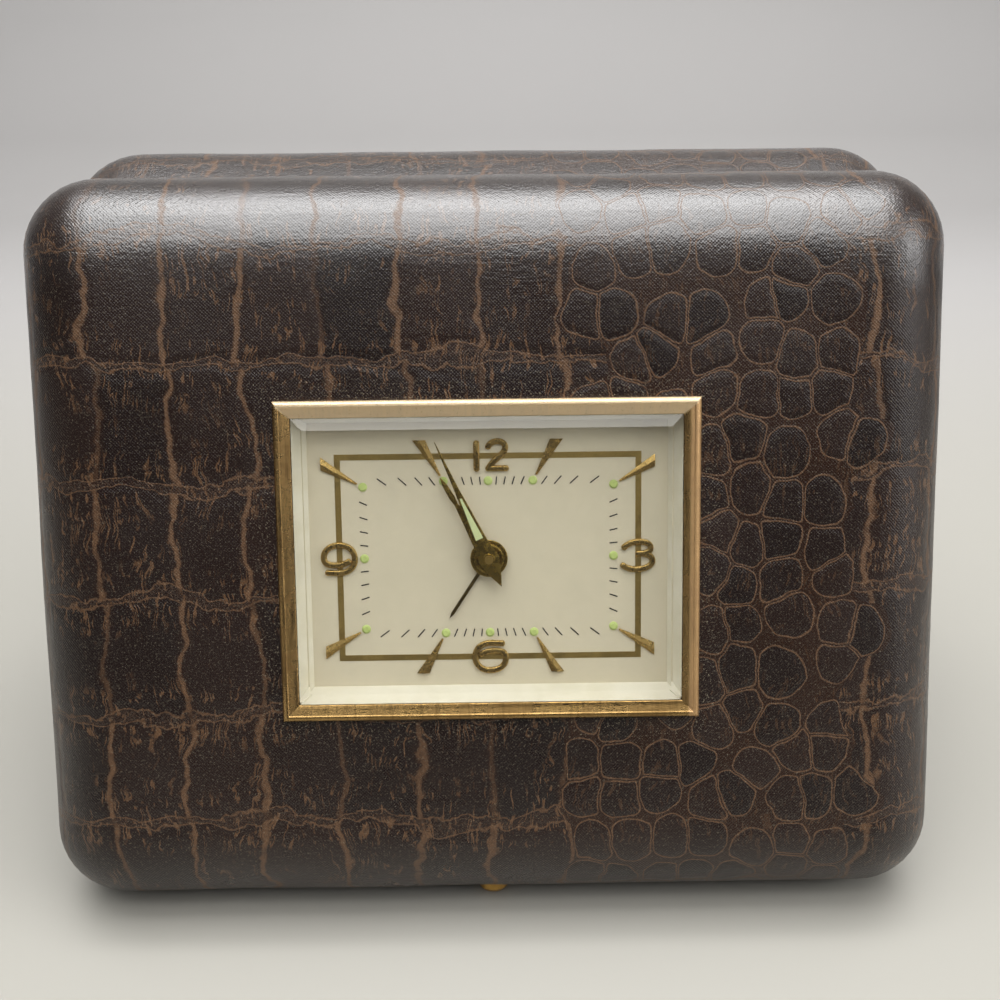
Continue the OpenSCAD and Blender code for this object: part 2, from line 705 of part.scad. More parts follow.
NINE = concat([[1.65, -0.35]], bez([1.65, -0.35], [0.7, -1.1], [-1.2, -1.3], [-2.2, -0.75], 5),
    bez([-2.2, -0.75], [-3.1, -0.2], [-2.9, 2.35], [-0.1, 2.4], 8),
    bez([-0.1, 2.4], [1.7, 2.45], [2.6, 1.3], [2.6, 0], 6),
    bez([2.6, 0], [2.6, -1.5], [1.4, -2.4], [-0.2, -2.4], 6), [[-2.2, -2.3]]);
THREE_TOP = concat([[-2.3, 1.3]], bez([-2.3, 1.3], [-1.6, 2.1], [-0.6, 2.35], [0.4, 2.35], 5),
    bez([0.4, 2.35], [1.6, 2.35], [2.3, 1.9], [2.3, 1.25], 5), bez([2.3, 1.25], [2.3, 0.5], [1.4, 0.3], [0, 0.3], 5));
THREE_LOW = concat([[1.3, 0.2]], bez([1.3, 0.2], [2.2, 0.1], [2.7, -0.4], [2.6, -1.1], 5),
    bez([2.6, -1.1], [2.4, -2], [1, -2.4], [-0.2, -2.4], 5),
    bez([-0.2, -2.4], [-1.2, -2.4], [-2, -2.1], [-2.5, -1.6], 5));
TWO = concat([[-1.5, 1.4]], bez([-1.5, 1.4], [-1.2, 2.3], [-0.3, 2.45], [0.2, 2.45], 5),
    bez([0.2, 2.45], [1.3, 2.45], [1.8, 1.5], [1.2, 0.7], 5),
    bez([1.2, 0.7], [0.6, -0.2], [-0.9, -0.9], [-1.4, -2.1], 5));

module numeral(paths) {
    scale(numeral_h / 5) linear_extrude(0.5) for (p = paths) stroke(p, numeral_stroke * 5 / numeral_h);
}

module hour_numerals() color("#a9823c") place_clock() translate([0, 0, dial_s + print_t]) {
    translate([0, frame_b, 0]) {
        translate([-1.9, 0, 0]) numeral([[[0, -2.5], [0, 2.5]]]);
        translate([1.5, 0, 0]) numeral([TWO, [[-1.7, -2.1], [1.7, -2.1]]]);
    }
    translate([frame_a - 0.2, 0, 0]) numeral([THREE_TOP, THREE_LOW]);
    translate([0, -frame_b, 0]) rotate([0, 0, 180]) numeral([NINE]);
    translate([-frame_a, 0, 0]) numeral([NINE]);
}

// Hands: outlines point up, then turn to the time shown.
module hand(pts, hub_r, bore_r) {
    difference() {
        linear_extrude(hand_t) union() {
            polygon(pts);
            circle(hub_r);
        }
        translate([0, 0, -1]) disc(bore_r, 3);
    }
}

module alarm_hand() color("#5a4a2a") place_clock() translate([0, 0, alarm_hand_s]) rotate([0, 0, -alarm_dir])
    hand([[-0.3, 0], [0.3, 0], [0.28, alarm_len - 1], [0, alarm_len], [-0.28, alarm_len - 1]], 2.7, alarm_pipe_out);

function mirrored(pts) = concat(pts, [for (i = [len(pts) - 1:-1:0]) [-pts[i][0], pts[i][1]]]);

module hour_hand() color("#8f7432") place_clock() translate([0, 0, hour_hand_s]) rotate([0, 0, hour_a]) {
    hand(mirrored([[1, 0], [1.2, 3.2], [0.75, 0.42 * hour_len], [0.32, 0.67 * hour_len], [0.5, 0.75 * hour_len],
        [0.4, 0.9 * hour_len], [0.05, hour_len]]), 3.15, hour_pipe_out);
    ring(2.5, hour_pipe_out, hand_t + 0.2);
}

module minute_hand() color("#8f7432") place_clock() translate([0, 0, minute_hand_s]) rotate([0, 0, minute_a]) {
    hand(mirrored([[0, -5.1], [0.75, -3.3], [1.7, -0.5], [1.7, 0.5], [1.15, 3.3], [0.87, 6.8], [0.66, 9.9],
        [0.42, 12.7], [0.28, minute_len - 5.5], [0.05, minute_len]]), 1.75, centre_r);
    ring(1, centre_r, hand_t + 0.2);
}

// Housing round the movement.
module housing() color("#8d8a83") place_clock() difference() {
    union() {
        translate([0, 0, cover_in_s]) linear_extrude(face_s - shell_wall - cover_in_s)
            rounded(housing_w, housing_h, 1.8);
        translate([0, 0, face_s - shell_wall - 1]) linear_extrude(1) rounded(housing_w + 5.4, housing_h + 5.4, 3);
    }
    translate([0, 0, -1]) linear_extrude(shell_d + 4) rounded(window_w, window_h, 0.6);
}

SOUND_HOLES = concat([[0, 0]], [for (i = [0:5]) polar(3, 60 * i)]);
sound_at = [-14, -19.5];
regulator_r = 5;
regulator_dir = 70;
regulator_swing = 25;

module stop_slot(s) {
    translate([stop_at[0] - 0.7, stop_at[1] - 0.6, s]) cube([stop_travel + 1.4, 1.2, 3]);
}

module back_cover() color("#9b968a") place_clock() difference() {
    translate([0, 0, cover_s]) linear_extrude(cover_t) rounded(housing_w, housing_h, 1.8);
    for (p = [barrel_at, alarm_barrel_at, [0, 0], set_at]) at(p, cover_s - 1) disc(post_r + 0.25, 3);
    for (p = PILLARS) at(p, cover_s - 1) disc(post_r + 0.05, 3);
    for (p = SOUND_HOLES) at(sound_at + p, cover_s - 1) disc(0.8, 3);
    at(balance_at, cover_s - 1) rotate([0, 0, regulator_dir - regulator_swing - 8])
        rotate_extrude(angle = 2 * regulator_swing + 16) translate([regulator_r - 0.7, 0]) square([1.4, 3]);
    stop_slot(cover_s - 1);
}

module cover_screws() color("#8a8780") place_clock() for (p = PILLARS) at(p, 0) {
    difference() {
        translate([0, 0, cover_s - 0.7]) cylinder(r1 = 1.35, r2 = 1.6, h = 0.7);
        translate([-2, -0.2, cover_s - 1]) cube([4, 0.4, 0.65]);
    }
    translate([0, 0, cover_s]) disc(post_r, gap_back_s + 2 - cover_s);
}

module movement_ring() color("#a89a62") place_clock() difference() {
    translate([0, 0, front_plate_s]) block(crystal_w, crystal_h, motion_gap);
    translate([0, 0, front_plate_s - 1]) block(crystal_w - 6, crystal_h - 6, 6);
}

PLATE_PIVOTS = [third_at, fourth_at, escape_at, fork_at, balance_at, strike_at, hammer_at];

module front_plate() color("#b99b55") place_clock() difference() {
    union() {
        translate([0, 0, gap_front_s]) block(crystal_w, crystal_h, plate_t);
        at(minute_at, front_plate_s) disc(arbor_r, 1.95);
    }
    for (p = PLATE_PIVOTS) at(p, gap_front_s - 1) disc(pivot_r + run, 3);
    for (p = [barrel_at, alarm_barrel_at]) at(p, gap_front_s - 1) disc(post_r + run, 3);
    for (p = [[0, 0], set_at]) at(p, gap_front_s - 1) disc(centre_r + run, 3);
    for (p = PILLARS) at(p, gap_front_s - 1) disc(0.9, 3);
}

plate_w = crystal_w - 1;
plate_h = crystal_h - 1;

module back_plate() color("#b99b55") place_clock() difference() {
    union() {
        translate([0, 0, back_plate_s]) linear_extrude(plate_t) rounded(plate_w, plate_h, 2);
        at(balance_at, back_plate_s - 0.9) disc(1.4, 0.9 + eps);
    }
    for (p = PLATE_PIVOTS) at(p, back_plate_s - 1) disc(pivot_r + run, 4);
    for (p = [barrel_at, alarm_barrel_at]) at(p, back_plate_s - 1) disc(post_r + run, 4);
    for (p = [[0, 0], set_at]) at(p, back_plate_s - 1) disc(centre_r + run, 4);
    for (p = PILLARS) at(p, back_plate_s - 1) disc(1.2, 4);
    stop_slot(back_plate_s - 1);
}

module pillars() color("#c2a55c") place_clock() for (p = PILLARS) at(p, 0) difference() {
    union() {
        translate([0, 0, gap_back_s]) disc(1.7, plate_gap);
        translate([0, 0, back_plate_s]) disc(1.2, plate_t + eps);
        translate([0, 0, gap_front_s - eps]) disc(0.9, plate_t + eps);
    }
    translate([0, 0, back_plate_s - 1]) disc(post_r, gap_back_s + 2 - back_plate_s + 1);
}

// Teeth: slender, with rounded tips cut as three flats, so that meshing pairs run free.
function teeth(z, m, add, ded, wide) = let (r = z * m / 2, pitch = 360 / z) [for (i = [0:z - 1], k = [
        [r - ded * m, -wide * 0.62], [r, -wide * 0.5], [r + add * m * 0.75, -wide * 0.3], [r + add * m, -wide * 0.1],
        [r + add * m, wide * 0.1], [r + add * m * 0.75, wide * 0.3], [r, wide * 0.5], [r - ded * m, wide * 0.62]])
    polar(k[0], pitch * (i + k[1]))];

module wheel_teeth(z, m, t) {
    linear_extrude(t) polygon(teeth(z, m, 0.95, 1.2, 0.44));
}

module pinion(z, m, t, bore) {
    difference() {
        linear_extrude(t) polygon(teeth(z, m, 0.7, 1.25, 0.4));
        if (bore > 0) translate([0, 0, -1]) disc(bore, t + 2);
    }
}

// A thin wheel with a rim, spokes and a hub.
module wheel(z, m, t, hub, bore, spokes) {
    rim_r = z * m / 2 - 1.2 * m - 0.7;
    difference() {
        wheel_teeth(z, m, t);
        translate([0, 0, -1]) difference() {
            disc(rim_r, t + 2);
            translate([0, 0, -1]) disc(hub, t + 4);
            for (i = [0:spokes - 1]) rotate([0, 0, 360 * i / spokes + 45]) translate([0, -0.45, -1])
                cube([rim_r + 1, 0.9, t + 4]);
        }
        if (bore > 0) translate([0, 0, -1]) disc(bore, t + 2);
    }
}

// Turns a piece so that one tooth, or one gap, lies in a direction.
module tooth_at(dir) {
    rotate([0, 0, dir]) children();
}

module gap_at(dir, z) {
    rotate([0, 0, dir + 180 / z]) children();
}

module arbor(r, s0, s1) {
    translate([0, 0, s0]) disc(r, s1 - s0);
    translate([0, 0, back_plate_s + 0.1]) disc(pivot_r, s0 - back_plate_s - 0.1 + eps);
    translate([0, 0, s1 - eps]) disc(pivot_r, front_plate_s - 0.1 - s1 + eps);
}

pivot_in = 0.15;

// Motion work between the dial and the front plate.
module centre_arbor() color("#b7a06a") place_clock() {
    translate([0, 0, knob_top_s + knob_h - 2])
        disc(centre_r, minute_hand_s + hand_t + 0.75 - knob_top_s - knob_h + 2);
    translate([0, 0, minute_s]) tooth_at(minute_dir) pinion(cannon_z, m_motion, 0.75, 0);
    translate([0, 0, minute_s]) disc(cannon_r, minute_hand_s - minute_s);
}

module minute_wheel() color("#c2a55c") place_clock() at(minute_at, 0) {
    translate([0, 0, minute_s])
        gap_at(minute_dir + 180, minute_z) wheel(minute_z, m_motion, 0.5, 1.6, arbor_r + run, 4);
    translate([0, 0, minute_s + 0.5]) tooth_at(minute_dir + 180)
        pinion(minute_pinion_z, m_hour, 1.05, arbor_r + run);
}

module hour_wheel() color("#c2a55c") place_clock() {
    translate([0, 0, hour_s]) gap_at(minute_dir, hour_z) wheel(hour_z, m_hour, 0.5, 2.4, hour_pipe_in, 4);
    translate([0, 0, hour_s]) ring(hour_pipe_out, hour_pipe_in, hour_hand_s + hand_t - hour_s);
}

module alarm_wheel() color("#c2a55c") place_clock() {
    translate([0, 0, alarm_s]) gap_at(set_dir, alarm_z) wheel(alarm_z, m_set, 0.5, 3, alarm_pipe_in, 4);
    translate([0, 0, alarm_s]) ring(alarm_pipe_out, alarm_pipe_in, alarm_hand_s + hand_t - alarm_s);
}

module alarm_set_arbor() color("#b7a06a") place_clock() at(set_at, 0) {
    translate([0, 0, knob_top_s + knob_h - 2]) disc(centre_r, dial_back_s - 0.4 - knob_top_s - knob_h + 2);
    translate([0, 0, alarm_s - 0.2]) tooth_at(set_dir + 180) pinion(set_pinion_z, m_set, 0.85, 0);
}

// Keys and knobs on the back.
module knob() {
    difference() {
        translate([0, 0, knob_top_s]) union() {
            linear_extrude(knob_h - 0.8) polygon([for (i = [0:47]) polar(knob_r - (i % 2) * 0.3, 7.5 * i)]);
            translate([0, 0, knob_h - 0.8]) disc(knob_r - 1.2, 0.8);
        }
        translate([0, 0, knob_top_s + knob_h - 2]) disc(centre_r, 3);
    }
}

module time_set_knob() color("#b08d3e") place_clock() knob();
module alarm_set_knob() color("#b08d3e") place_clock() at(set_at, 0) knob();

key_back_s = -4.6;
module key() {
    r = 2.9;
    difference() {
        union() {
            translate([0, 0, knob_top_s]) disc(2, cover_s - 0.6 - knob_top_s);
            for (x = [-1, 1]) translate([x * (key_span / 2 - r), -key_t / 2, key_back_s + r]) rotate([-90, 0, 0])
                disc(r, key_t);
            translate([-key_span / 2 + r, -key_t / 2, key_back_s + 1.1])
                cube([key_span - 2 * r, key_t, knob_top_s - key_back_s]);
        }
        translate([0, 0, cover_s - 2.6]) disc(post_r, 3);
    }
}

module time_key() color("#b08d3e") place_clock() at(barrel_at, 0) rotate([0, 0, 90]) key();
module alarm_key() color("#b08d3e") place_clock() at(alarm_barrel_at, 0) rotate([0, 0, 90]) key();

// Barrels with their springs, arbors and ratchets.
drum_wall = 0.5;
module barrel(z, m, drum_r) {
    difference() {
        union() {
            translate([0, 0, drum_s]) disc(drum_r, drum_h + eps);
            translate([0, 0, great_s]) wheel_teeth(z, m, great_t);
        }
        translate([0, 0, drum_s + drum_wall]) disc(drum_r - drum_wall, drum_h - drum_wall);
        translate([0, 0, drum_s - 1]) disc(drum_arbor_r + run, drum_h + great_t + 2);
    }
}

function spiral(r0, r1, turns, steps) = [for (i = [0:turns * steps])
    polar(r0 + (r1 - r0) * i / (turns * steps), 360 * i / steps)];

module flat_spring(r0, r1, turns, t, h, steps) {
    linear_extrude(h) stroke(spiral(r0, r1, turns, steps), t);
}

module drum_arbor() {
    translate([0, 0, drum_s]) disc(drum_arbor_r, drum_h + great_t + 0.1);
    translate([0, 0, cover_s - 2.5]) disc(post_r, front_plate_s - 0.1 - cover_s + 2.5);
    translate([0, 0, ratchet_s]) linear_extrude(ratchet_t)
        polygon([for (i = [0:ratchet_z - 1], k = [[ratchet_r, 0], [ratchet_r - 0.8, 0.08]])
            polar(k[0], 360 / ratchet_z * (i + k[1]))]);
}

module time_barrel() color("#c2a55c") place_clock() at(barrel_at, 0)
    tooth_at(barrel_dir + 180) barrel(great_z, m_great, time_drum_r);
module alarm_barrel() color("#c2a55c") place_clock() at(alarm_barrel_at, 0)
    tooth_at(strike_dir) barrel(strike_great_z, m_strike, alarm_drum_r);
module time_mainspring() color("#5d6470") place_clock() at(barrel_at, drum_s + drum_wall + 0.2)
    flat_spring(drum_arbor_r + 0.3, time_drum_r - drum_wall - 0.2, 7, 0.3, drum_h - drum_wall - 0.4, 20);
module alarm_mainspring() color("#5d6470") place_clock() at(alarm_barrel_at, drum_s + drum_wall + 0.2)
    flat_spring(drum_arbor_r + 0.3, alarm_drum_r - drum_wall - 0.2, 5, 0.3, drum_h - drum_wall - 0.4, 20);
module time_ratchet() color("#9d9a92") place_clock() at(barrel_at, 0) drum_arbor();
module alarm_ratchet() color("#9d9a92") place_clock() at(alarm_barrel_at, 0) drum_arbor();

// Sprung clicks, drawn with their tips just lifted off the ratchets.
module click(dir) {
    tip = polar(ratchet_r + open_link, dir);
    foot = polar(ratchet_r + 3.4, dir - 42);
    translate([0, 0, ratchet_s + 0.1]) linear_extrude(0.5)
        stroke([foot, (foot + tip) / 2 + polar(0.5, dir), tip + polar(0.35, dir)], 0.7);
    at(foot, ratchet_s + 0.1) disc(0.9, back_plate_s - ratchet_s - 0.1);
}

module ratchet_clicks() color("#9d9a92") place_clock() {
    at(barrel_at, 0) click(100);
    at(alarm_barrel_at, 0) click(20);
}

// Going train.
module centre_wheel() color("#c2a55c") place_clock() {
    difference() {
        union() {
            translate([0, 0, great_s - 0.3]) gap_at(barrel_dir, centre_pinion_z)
                pinion(centre_pinion_z, m_great, 1.4, 0);
            translate([0, 0, great_s + 1.1 - eps]) disc(1.6, slow_s - great_s - 1.1 + wheel_t);
            translate([0, 0, slow_s]) tooth_at(third_dir) wheel(centre_z, m_centre, wheel_t, 1.6, 0, 4);
        }
        translate([0, 0, gap_back_s]) disc(centre_r + run, plate_gap);
    }
}

module third_wheel() color("#c2a55c") place_clock() at(third_at, 0) {
    arbor(arbor_r, gap_back_s + pivot_in, gap_front_s - pivot_in);
    translate([0, 0, slow_s - 0.4])
        gap_at(third_dir + 180, third_pinion_z) pinion(third_pinion_z, m_centre, 1.5, 0);
    translate([0, 0, fast_s]) tooth_at(fourth_dir) wheel(third_z, m_third, wheel_t, 1.2, 0, 4);
}

module fourth_wheel() color("#c2a55c") place_clock() at(fourth_at, 0) {
    arbor(arbor_r, gap_back_s + pivot_in, gap_front_s - pivot_in);
    translate([0, 0, fast_s - 0.4])
        gap_at(fourth_dir + 180, fourth_pinion_z) pinion(fourth_pinion_z, m_third, 1.4, 0);
    translate([0, 0, fourth_s]) tooth_at(escape_dir) wheel(fourth_z, m_fourth, wheel_t, 1.2, 0, 4);
}

module escape_wheel() color("#c2a55c") place_clock() at(escape_at, 0) {
    arbor(0.4, gap_back_s + pivot_in, gap_front_s - pivot_in);
    translate([0, 0, fourth_s - 0.4])
        gap_at(escape_dir + 180, escape_pinion_z) pinion(escape_pinion_z, m_fourth, 1.4, 0);
    translate([0, 0, fast_s]) difference() {
        linear_extrude(0.5) polygon([for (i = [0:escape_z - 1],
            k = [[escape_r - 1.2, 0.02], [escape_r, -0.14], [escape_r, -0.02], [escape_r - 1.2, 0.3]])
            polar(k[0], 360 / escape_z * (i + k[1]))]);
        translate([0, 0, -1]) difference() {
            disc(escape_r - 1.7, 3);
            translate([0, 0, -1]) disc(1, 5);
            for (i = [0:2]) rotate([0, 0, 60 * i]) translate([0, 0, 2]) cube([6, 0.6, 5], center = true);
        }
    }
}

// Pin lever: its pins and the balance's impulse pin stand clear by open_link.
module pallet_fork() color("#b7a06a") place_clock() at(fork_at, 0) {
    arbor(0.4, gap_back_s + pivot_in, gap_front_s - pivot_in);
    pin_r = 0.25;
    reach = escape_r + open_link + pin_r;
    rotate([0, 0, balance_dir]) {
        translate([0, 0, fork_s]) linear_extrude(fork_t) {
            stroke([[-escape_to_fork + reach * cos(28), reach * sin(28)], [-0.6, 1], [0, 0]], 0.9);
            stroke([[-escape_to_fork + reach * cos(28), -reach * sin(28)], [-0.6, -1], [0, 0]], 0.9);
            circle(1.1);
            translate([0, -0.35]) square([fork_to_balance - impulse_r - 0.7, 0.7]);
            for (y = [-1, 1]) translate([fork_to_balance - impulse_r - 0.8, y * 0.6 - 0.25]) square([1.1, 0.5]);
            translate([fork_to_balance - impulse_r - 0.9, -0.85]) square([0.4, 1.7]);
        }
        for (y = [-1, 1]) translate([-escape_to_fork + reach * cos(28), y * reach * sin(28), fast_s])
            disc(pin_r, fork_s - fast_s + eps);
    }
}

module balance_wheel() color("#c2a55c") place_clock() at(balance_at, 0) {
    arbor(arbor_r, gap_back_s + pivot_in, gap_front_s - pivot_in);
    translate([0, 0, rim_s]) {
        ring(balance_r, balance_r - 1, 1);
        disc(1.4, 0.8);
        for (i = [0:1]) rotate([0, 0, 90 * i]) translate([-balance_r + 0.5, -0.4, 0])
            cube([2 * balance_r - 1, 0.8, 0.6]);
    }
    translate([0, 0, roller_s]) disc(1.9, 0.4);
    rotate([0, 0, balance_dir]) translate([-impulse_r, 0, fork_s + fork_t + open_link])
        disc(0.2, roller_s - fork_s - fork_t - open_link + eps);
}

module hairspring() color("#5d6470") place_clock() at(balance_at, gap_back_s + 0.6)
    flat_spring(arbor_r + 0.06, balance_r - 2.6, 7, 0.12, 0.5, 20);

module regulator_lever() color("#9d9a92") place_clock() at(balance_at, 0) {
    lever_s = back_plate_s - 0.65;
    translate([0, 0, lever_s]) difference() {
        union() {
            disc(2.6, 0.6);
            rotate([0, 0, regulator_dir]) translate([0, -0.5, 0]) cube([regulator_r + 0.5, 1, 0.6]);
        }
        translate([0, 0, -1]) disc(1.4 + run, 3);
    }
    at(polar(regulator_r, regulator_dir), cover_s - 0.9) disc(0.45, lever_s - cover_s + 0.9 + eps);
}

// Alarm work.
module strike_wheel() color("#c2a55c") place_clock() at(strike_at, 0) {
    arbor(arbor_r, gap_back_s + pivot_in, gap_front_s - pivot_in);
    translate([0, 0, great_s - 0.3])
        gap_at(strike_dir + 180, strike_pinion_z) pinion(strike_pinion_z, m_strike, 1.4, 0);
    translate([0, 0, fast_s + 0.2]) linear_extrude(wheel_t)
        polygon([for (i = [0:strike_z - 1],
            k = [[strike_r - 1, -0.3], [strike_r, -0.06], [strike_r, 0.06], [strike_r - 1, 0.3]])
            polar(k[0], 360 / strike_z * (i + k[1]))]);
}

module alarm_hammer() color("#9d9a92") place_clock() at(hammer_at, 0) {
    arbor(arbor_r, gap_back_s + pivot_in, gap_front_s - pivot_in);
    pin_r = 0.3;
    reach = strike_r + open_link + pin_r;
    arm_s = fast_s + 0.2 + wheel_t + 0.2;
    pins = [for (x = [-1, 1]) [x * reach * sin(22), strike_to_hammer - reach * cos(22)]];
    translate([0, 0, arm_s]) linear_extrude(0.6) {
        circle(1.3);
        for (p = pins) stroke([p, [p[0] * 0.6, 0.6], [0, 0]], 0.9);
        translate([-8, -0.5]) square([8, 1]);
    }
    for (p = pins) at(p, fast_s + 0.2) disc(pin_r, arm_s - fast_s - 0.2 + eps);
    at([-8, 0], arm_s - 1.2) disc(1.5, 3);
}

module alarm_stop() color("#b08d3e") place_clock() {
    w = 3.4;
    translate([stop_at[0] - w / 2, stop_at[1] - 1.5, cover_s - 1]) cube([w, 3, 0.95]);
    translate([stop_at[0] - 0.5, stop_at[1] - 0.5, cover_s - 0.1]) cube([1, 1, fast_s + 2.2 - cover_s]);
}

front_shell();
rear_shell();
front_lining();
front_panel();
rear_lining();
hinge_leaf_front();
hinge_leaf_rear();
hinge_pin();
hinge_brads_front();
hinge_brads_rear();
clasp_guide();
clasp_button();
clasp_spring();
catch_hook();
bezel();
crystal();
dial_surround();
dial();
hour_frame();
minute_track();
hour_batons();
hour_numerals();
luminous_dots();
housing();
back_cover();
cover_screws();
movement_ring();
front_plate();
back_plate();
pillars();
minute_hand();
hour_hand();
alarm_hand();
centre_arbor();
minute_wheel();
hour_wheel();
alarm_wheel();
alarm_set_arbor();
time_set_knob();
alarm_set_knob();
time_key();
alarm_key();
time_barrel();
time_mainspring();
time_ratchet();
alarm_barrel();
alarm_mainspring();
alarm_ratchet();
ratchet_clicks();
centre_wheel();
third_wheel();
fourth_wheel();
escape_wheel();
pallet_fork();
balance_wheel();
hairspring();
regulator_lever();
strike_wheel();
alarm_hammer();
alarm_stop();
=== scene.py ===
"""Looks of a folding travel clock: leatherette case, gilt bezel, bevelled crystal, dial, hands and works."""

import json
import math

import bmesh
import bpy
from mathutils import Matrix, Vector, noise


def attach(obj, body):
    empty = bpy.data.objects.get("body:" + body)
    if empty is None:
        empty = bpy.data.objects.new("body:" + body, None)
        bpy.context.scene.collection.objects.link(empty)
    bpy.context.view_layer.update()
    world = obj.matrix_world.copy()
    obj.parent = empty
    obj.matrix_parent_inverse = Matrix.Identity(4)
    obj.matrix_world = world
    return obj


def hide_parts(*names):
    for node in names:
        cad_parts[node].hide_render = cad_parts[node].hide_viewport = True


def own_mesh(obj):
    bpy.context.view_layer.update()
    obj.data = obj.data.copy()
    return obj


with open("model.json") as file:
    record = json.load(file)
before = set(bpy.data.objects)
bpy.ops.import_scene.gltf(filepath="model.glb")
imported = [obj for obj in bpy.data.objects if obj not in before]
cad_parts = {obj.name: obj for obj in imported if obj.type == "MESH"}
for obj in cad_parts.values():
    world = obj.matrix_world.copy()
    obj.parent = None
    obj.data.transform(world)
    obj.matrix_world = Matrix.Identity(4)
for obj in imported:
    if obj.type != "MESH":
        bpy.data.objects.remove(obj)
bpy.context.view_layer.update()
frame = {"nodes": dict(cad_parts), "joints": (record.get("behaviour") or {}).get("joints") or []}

bl_info = {
    "name": "Folding Travel Clock",
    "version": (1, 0, 0),
    "blender": (4, 5, 0),
    "location": "3D View > Sidebar > Travel Clock",
    "description": "Dresses a folding travel clock in leatherette, gilt metal and glass",
    "category": "Object",
}

NODES = frame["nodes"]
HINGE = next(j for j in frame["joints"] if j["name"] == "case_hinge")
LEAN = HINGE["range_deg"][1] / 2

# Sizes in millimetres. A shell has its own frame: x to the right, y up the face from -CASE_H at the standing
# edge to 0 at the hinge edge, and depth from 0 at the parting plane out to FACE_S at the face.
CASE_W, CASE_H, SHELL_D = 158.0, 127.0, 24.0
WALL, RIM_GAP, RIM_ROUND, EDGE_ROUND, CORNER_R = 2.4, 0.25, 2.0, 15.0, 13.0
HINGE_DROP, HINGE_LEN, KNUCKLE_R = 1.8, 120.0, 1.5
LEAF_ROOM, KNUCKLE_ROOM = 1.25, 0.55
BUTTON_AT, BUTTON_BORE = Vector((0, -CASE_H, 11.0)), 2.8
SPRING_LOW, SPRING_HIGH, SPRING_WIRE, SPRING_R = -118.26, -115.34, 0.3, 1.75
FACE_S = RIM_GAP + SHELL_D

# The clock's frame is the front shell's, moved to the middle of the dial
CLOCK_DROP = 1.3
DIAL_S = FACE_S - 4.4
BEZEL_W, BEZEL_H = 70.0, 53.7
WINDOW_A, WINDOW_B = 33.9, 25.75
HOUR_A, HOUR_B = 25.35, 17.25

# Height of the bezel's middle over the table, cosine of the face's lean, and half sizes of the bezel where
# dust begins
CLOCK_RISE, LEAN_COSINE = 66.2, 0.94
LEDGE_A, LEDGE_B = 35.0, 26.9

MM = Matrix.Scale(0.001, 4)
UPRIGHT = Matrix.Rotation(math.radians(90 - LEAN), 4, "X")
FRONT = Matrix.Translation(HINGE["pos_m"]) @ UPRIGHT @ Matrix.Translation((0, HINGE_DROP / 1000, 0)) @ MM
REAR = Matrix.Rotation(math.pi, 4, "Z") @ FRONT
CLOCK = FRONT @ Matrix.Translation((0, -CASE_H / 2 - CLOCK_DROP, 0))

# Where the hands point at rest, in degrees from twelve against the clock
MINUTE_DIR, HOUR_DIR, ALARM_DIR = -336.0, -329.8, -213.5

# Embossing: width of a column, height of a row, round scales to the millimetre, and pitch of the weave
COLUMN, ROW, ROUND_SCALE, WEAVE_PITCH = 12.8, 19.6, 0.146, 0.56


# Making pieces

def smooth_object(name, bm, material):
    """Puts a bmesh into the scene as a smooth object."""
    mesh = bpy.data.meshes.new(name)
    bm.to_mesh(mesh)
    bm.free()
    mesh.shade_smooth()
    mesh.materials.append(material)
    piece = bpy.data.objects.new(name, mesh)
    bpy.context.scene.collection.objects.link(piece)
    return piece


def made(name, bm, place, material, body, nodes=(), smooth=35):
    """Turns a bmesh in millimetres into a piece that rides on a body and stands for CAD nodes."""
    bmesh.ops.transform(bm, matrix=place, verts=bm.verts)
    piece = smooth_object(name, bm, material)
    piece.data.set_sharp_from_angle(angle=math.radians(smooth))
    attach(piece, body)
    if nodes:
        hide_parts(*nodes)
    return piece


def dress(nodes, material):
    """Gives CAD nodes a finish."""
    for node in nodes:
        mesh = NODES[node].data
        mesh.materials.clear()
        mesh.materials.append(material)


def ring_loft(bm, rings, closed=False):
    """Skin through rings of points: the first ring is drawn, and each next one is extruded from it and moved."""
    verts = [bm.verts.new(p) for p in rings[0]]
    count = len(verts)
    edges = [bm.edges.new((verts[i], verts[(i + 1) % count])) for i in range(count)]
    first, rows = edges, [verts]
    for ring in rings[1:]:
        grown = bmesh.ops.extrude_edge_only(bm, edges=edges)["geom"]
        edges = [g for g in grown if isinstance(g, bmesh.types.BMEdge)]
        fresh = set(v for e in edges for v in e.verts)
        rows.append([next(e.other_vert(vert) for e in vert.link_edges if e.other_vert(vert) in fresh)
                     for vert in rows[-1]])
        for vert, p in zip(rows[-1], ring):
            vert.co = p
    if closed:
        bmesh.ops.bridge_loops(bm, edges=first + edges)
        bmesh.ops.recalc_face_normals(bm, faces=bm.faces)
    return rows


def box_ring(half_w, half_h, s):
    """Corners of a rectangle at a given depth."""
    return [(half_w, half_h, s), (-half_w, half_h, s), (-half_w, -half_h, s), (half_w, -half_h, s)]


def turned(bm, profile, steps=40):
    """Body of revolution about the depth axis from a profile of (radius, depth) points."""
    verts = [bm.verts.new((r, 0, s)) for r, s in profile]
    edges = [bm.edges.new(pair) for pair in zip(verts, verts[1:])]
    bmesh.ops.spin(bm, geom=verts + edges, cent=(0, 0, 0), axis=(0, 0, 1), angle=2 * math.pi,
                   steps=steps, use_merge=True)
    bmesh.ops.remove_doubles(bm, verts=bm.verts, dist=1e-4)
    bmesh.ops.recalc_face_normals(bm, faces=bm.faces)


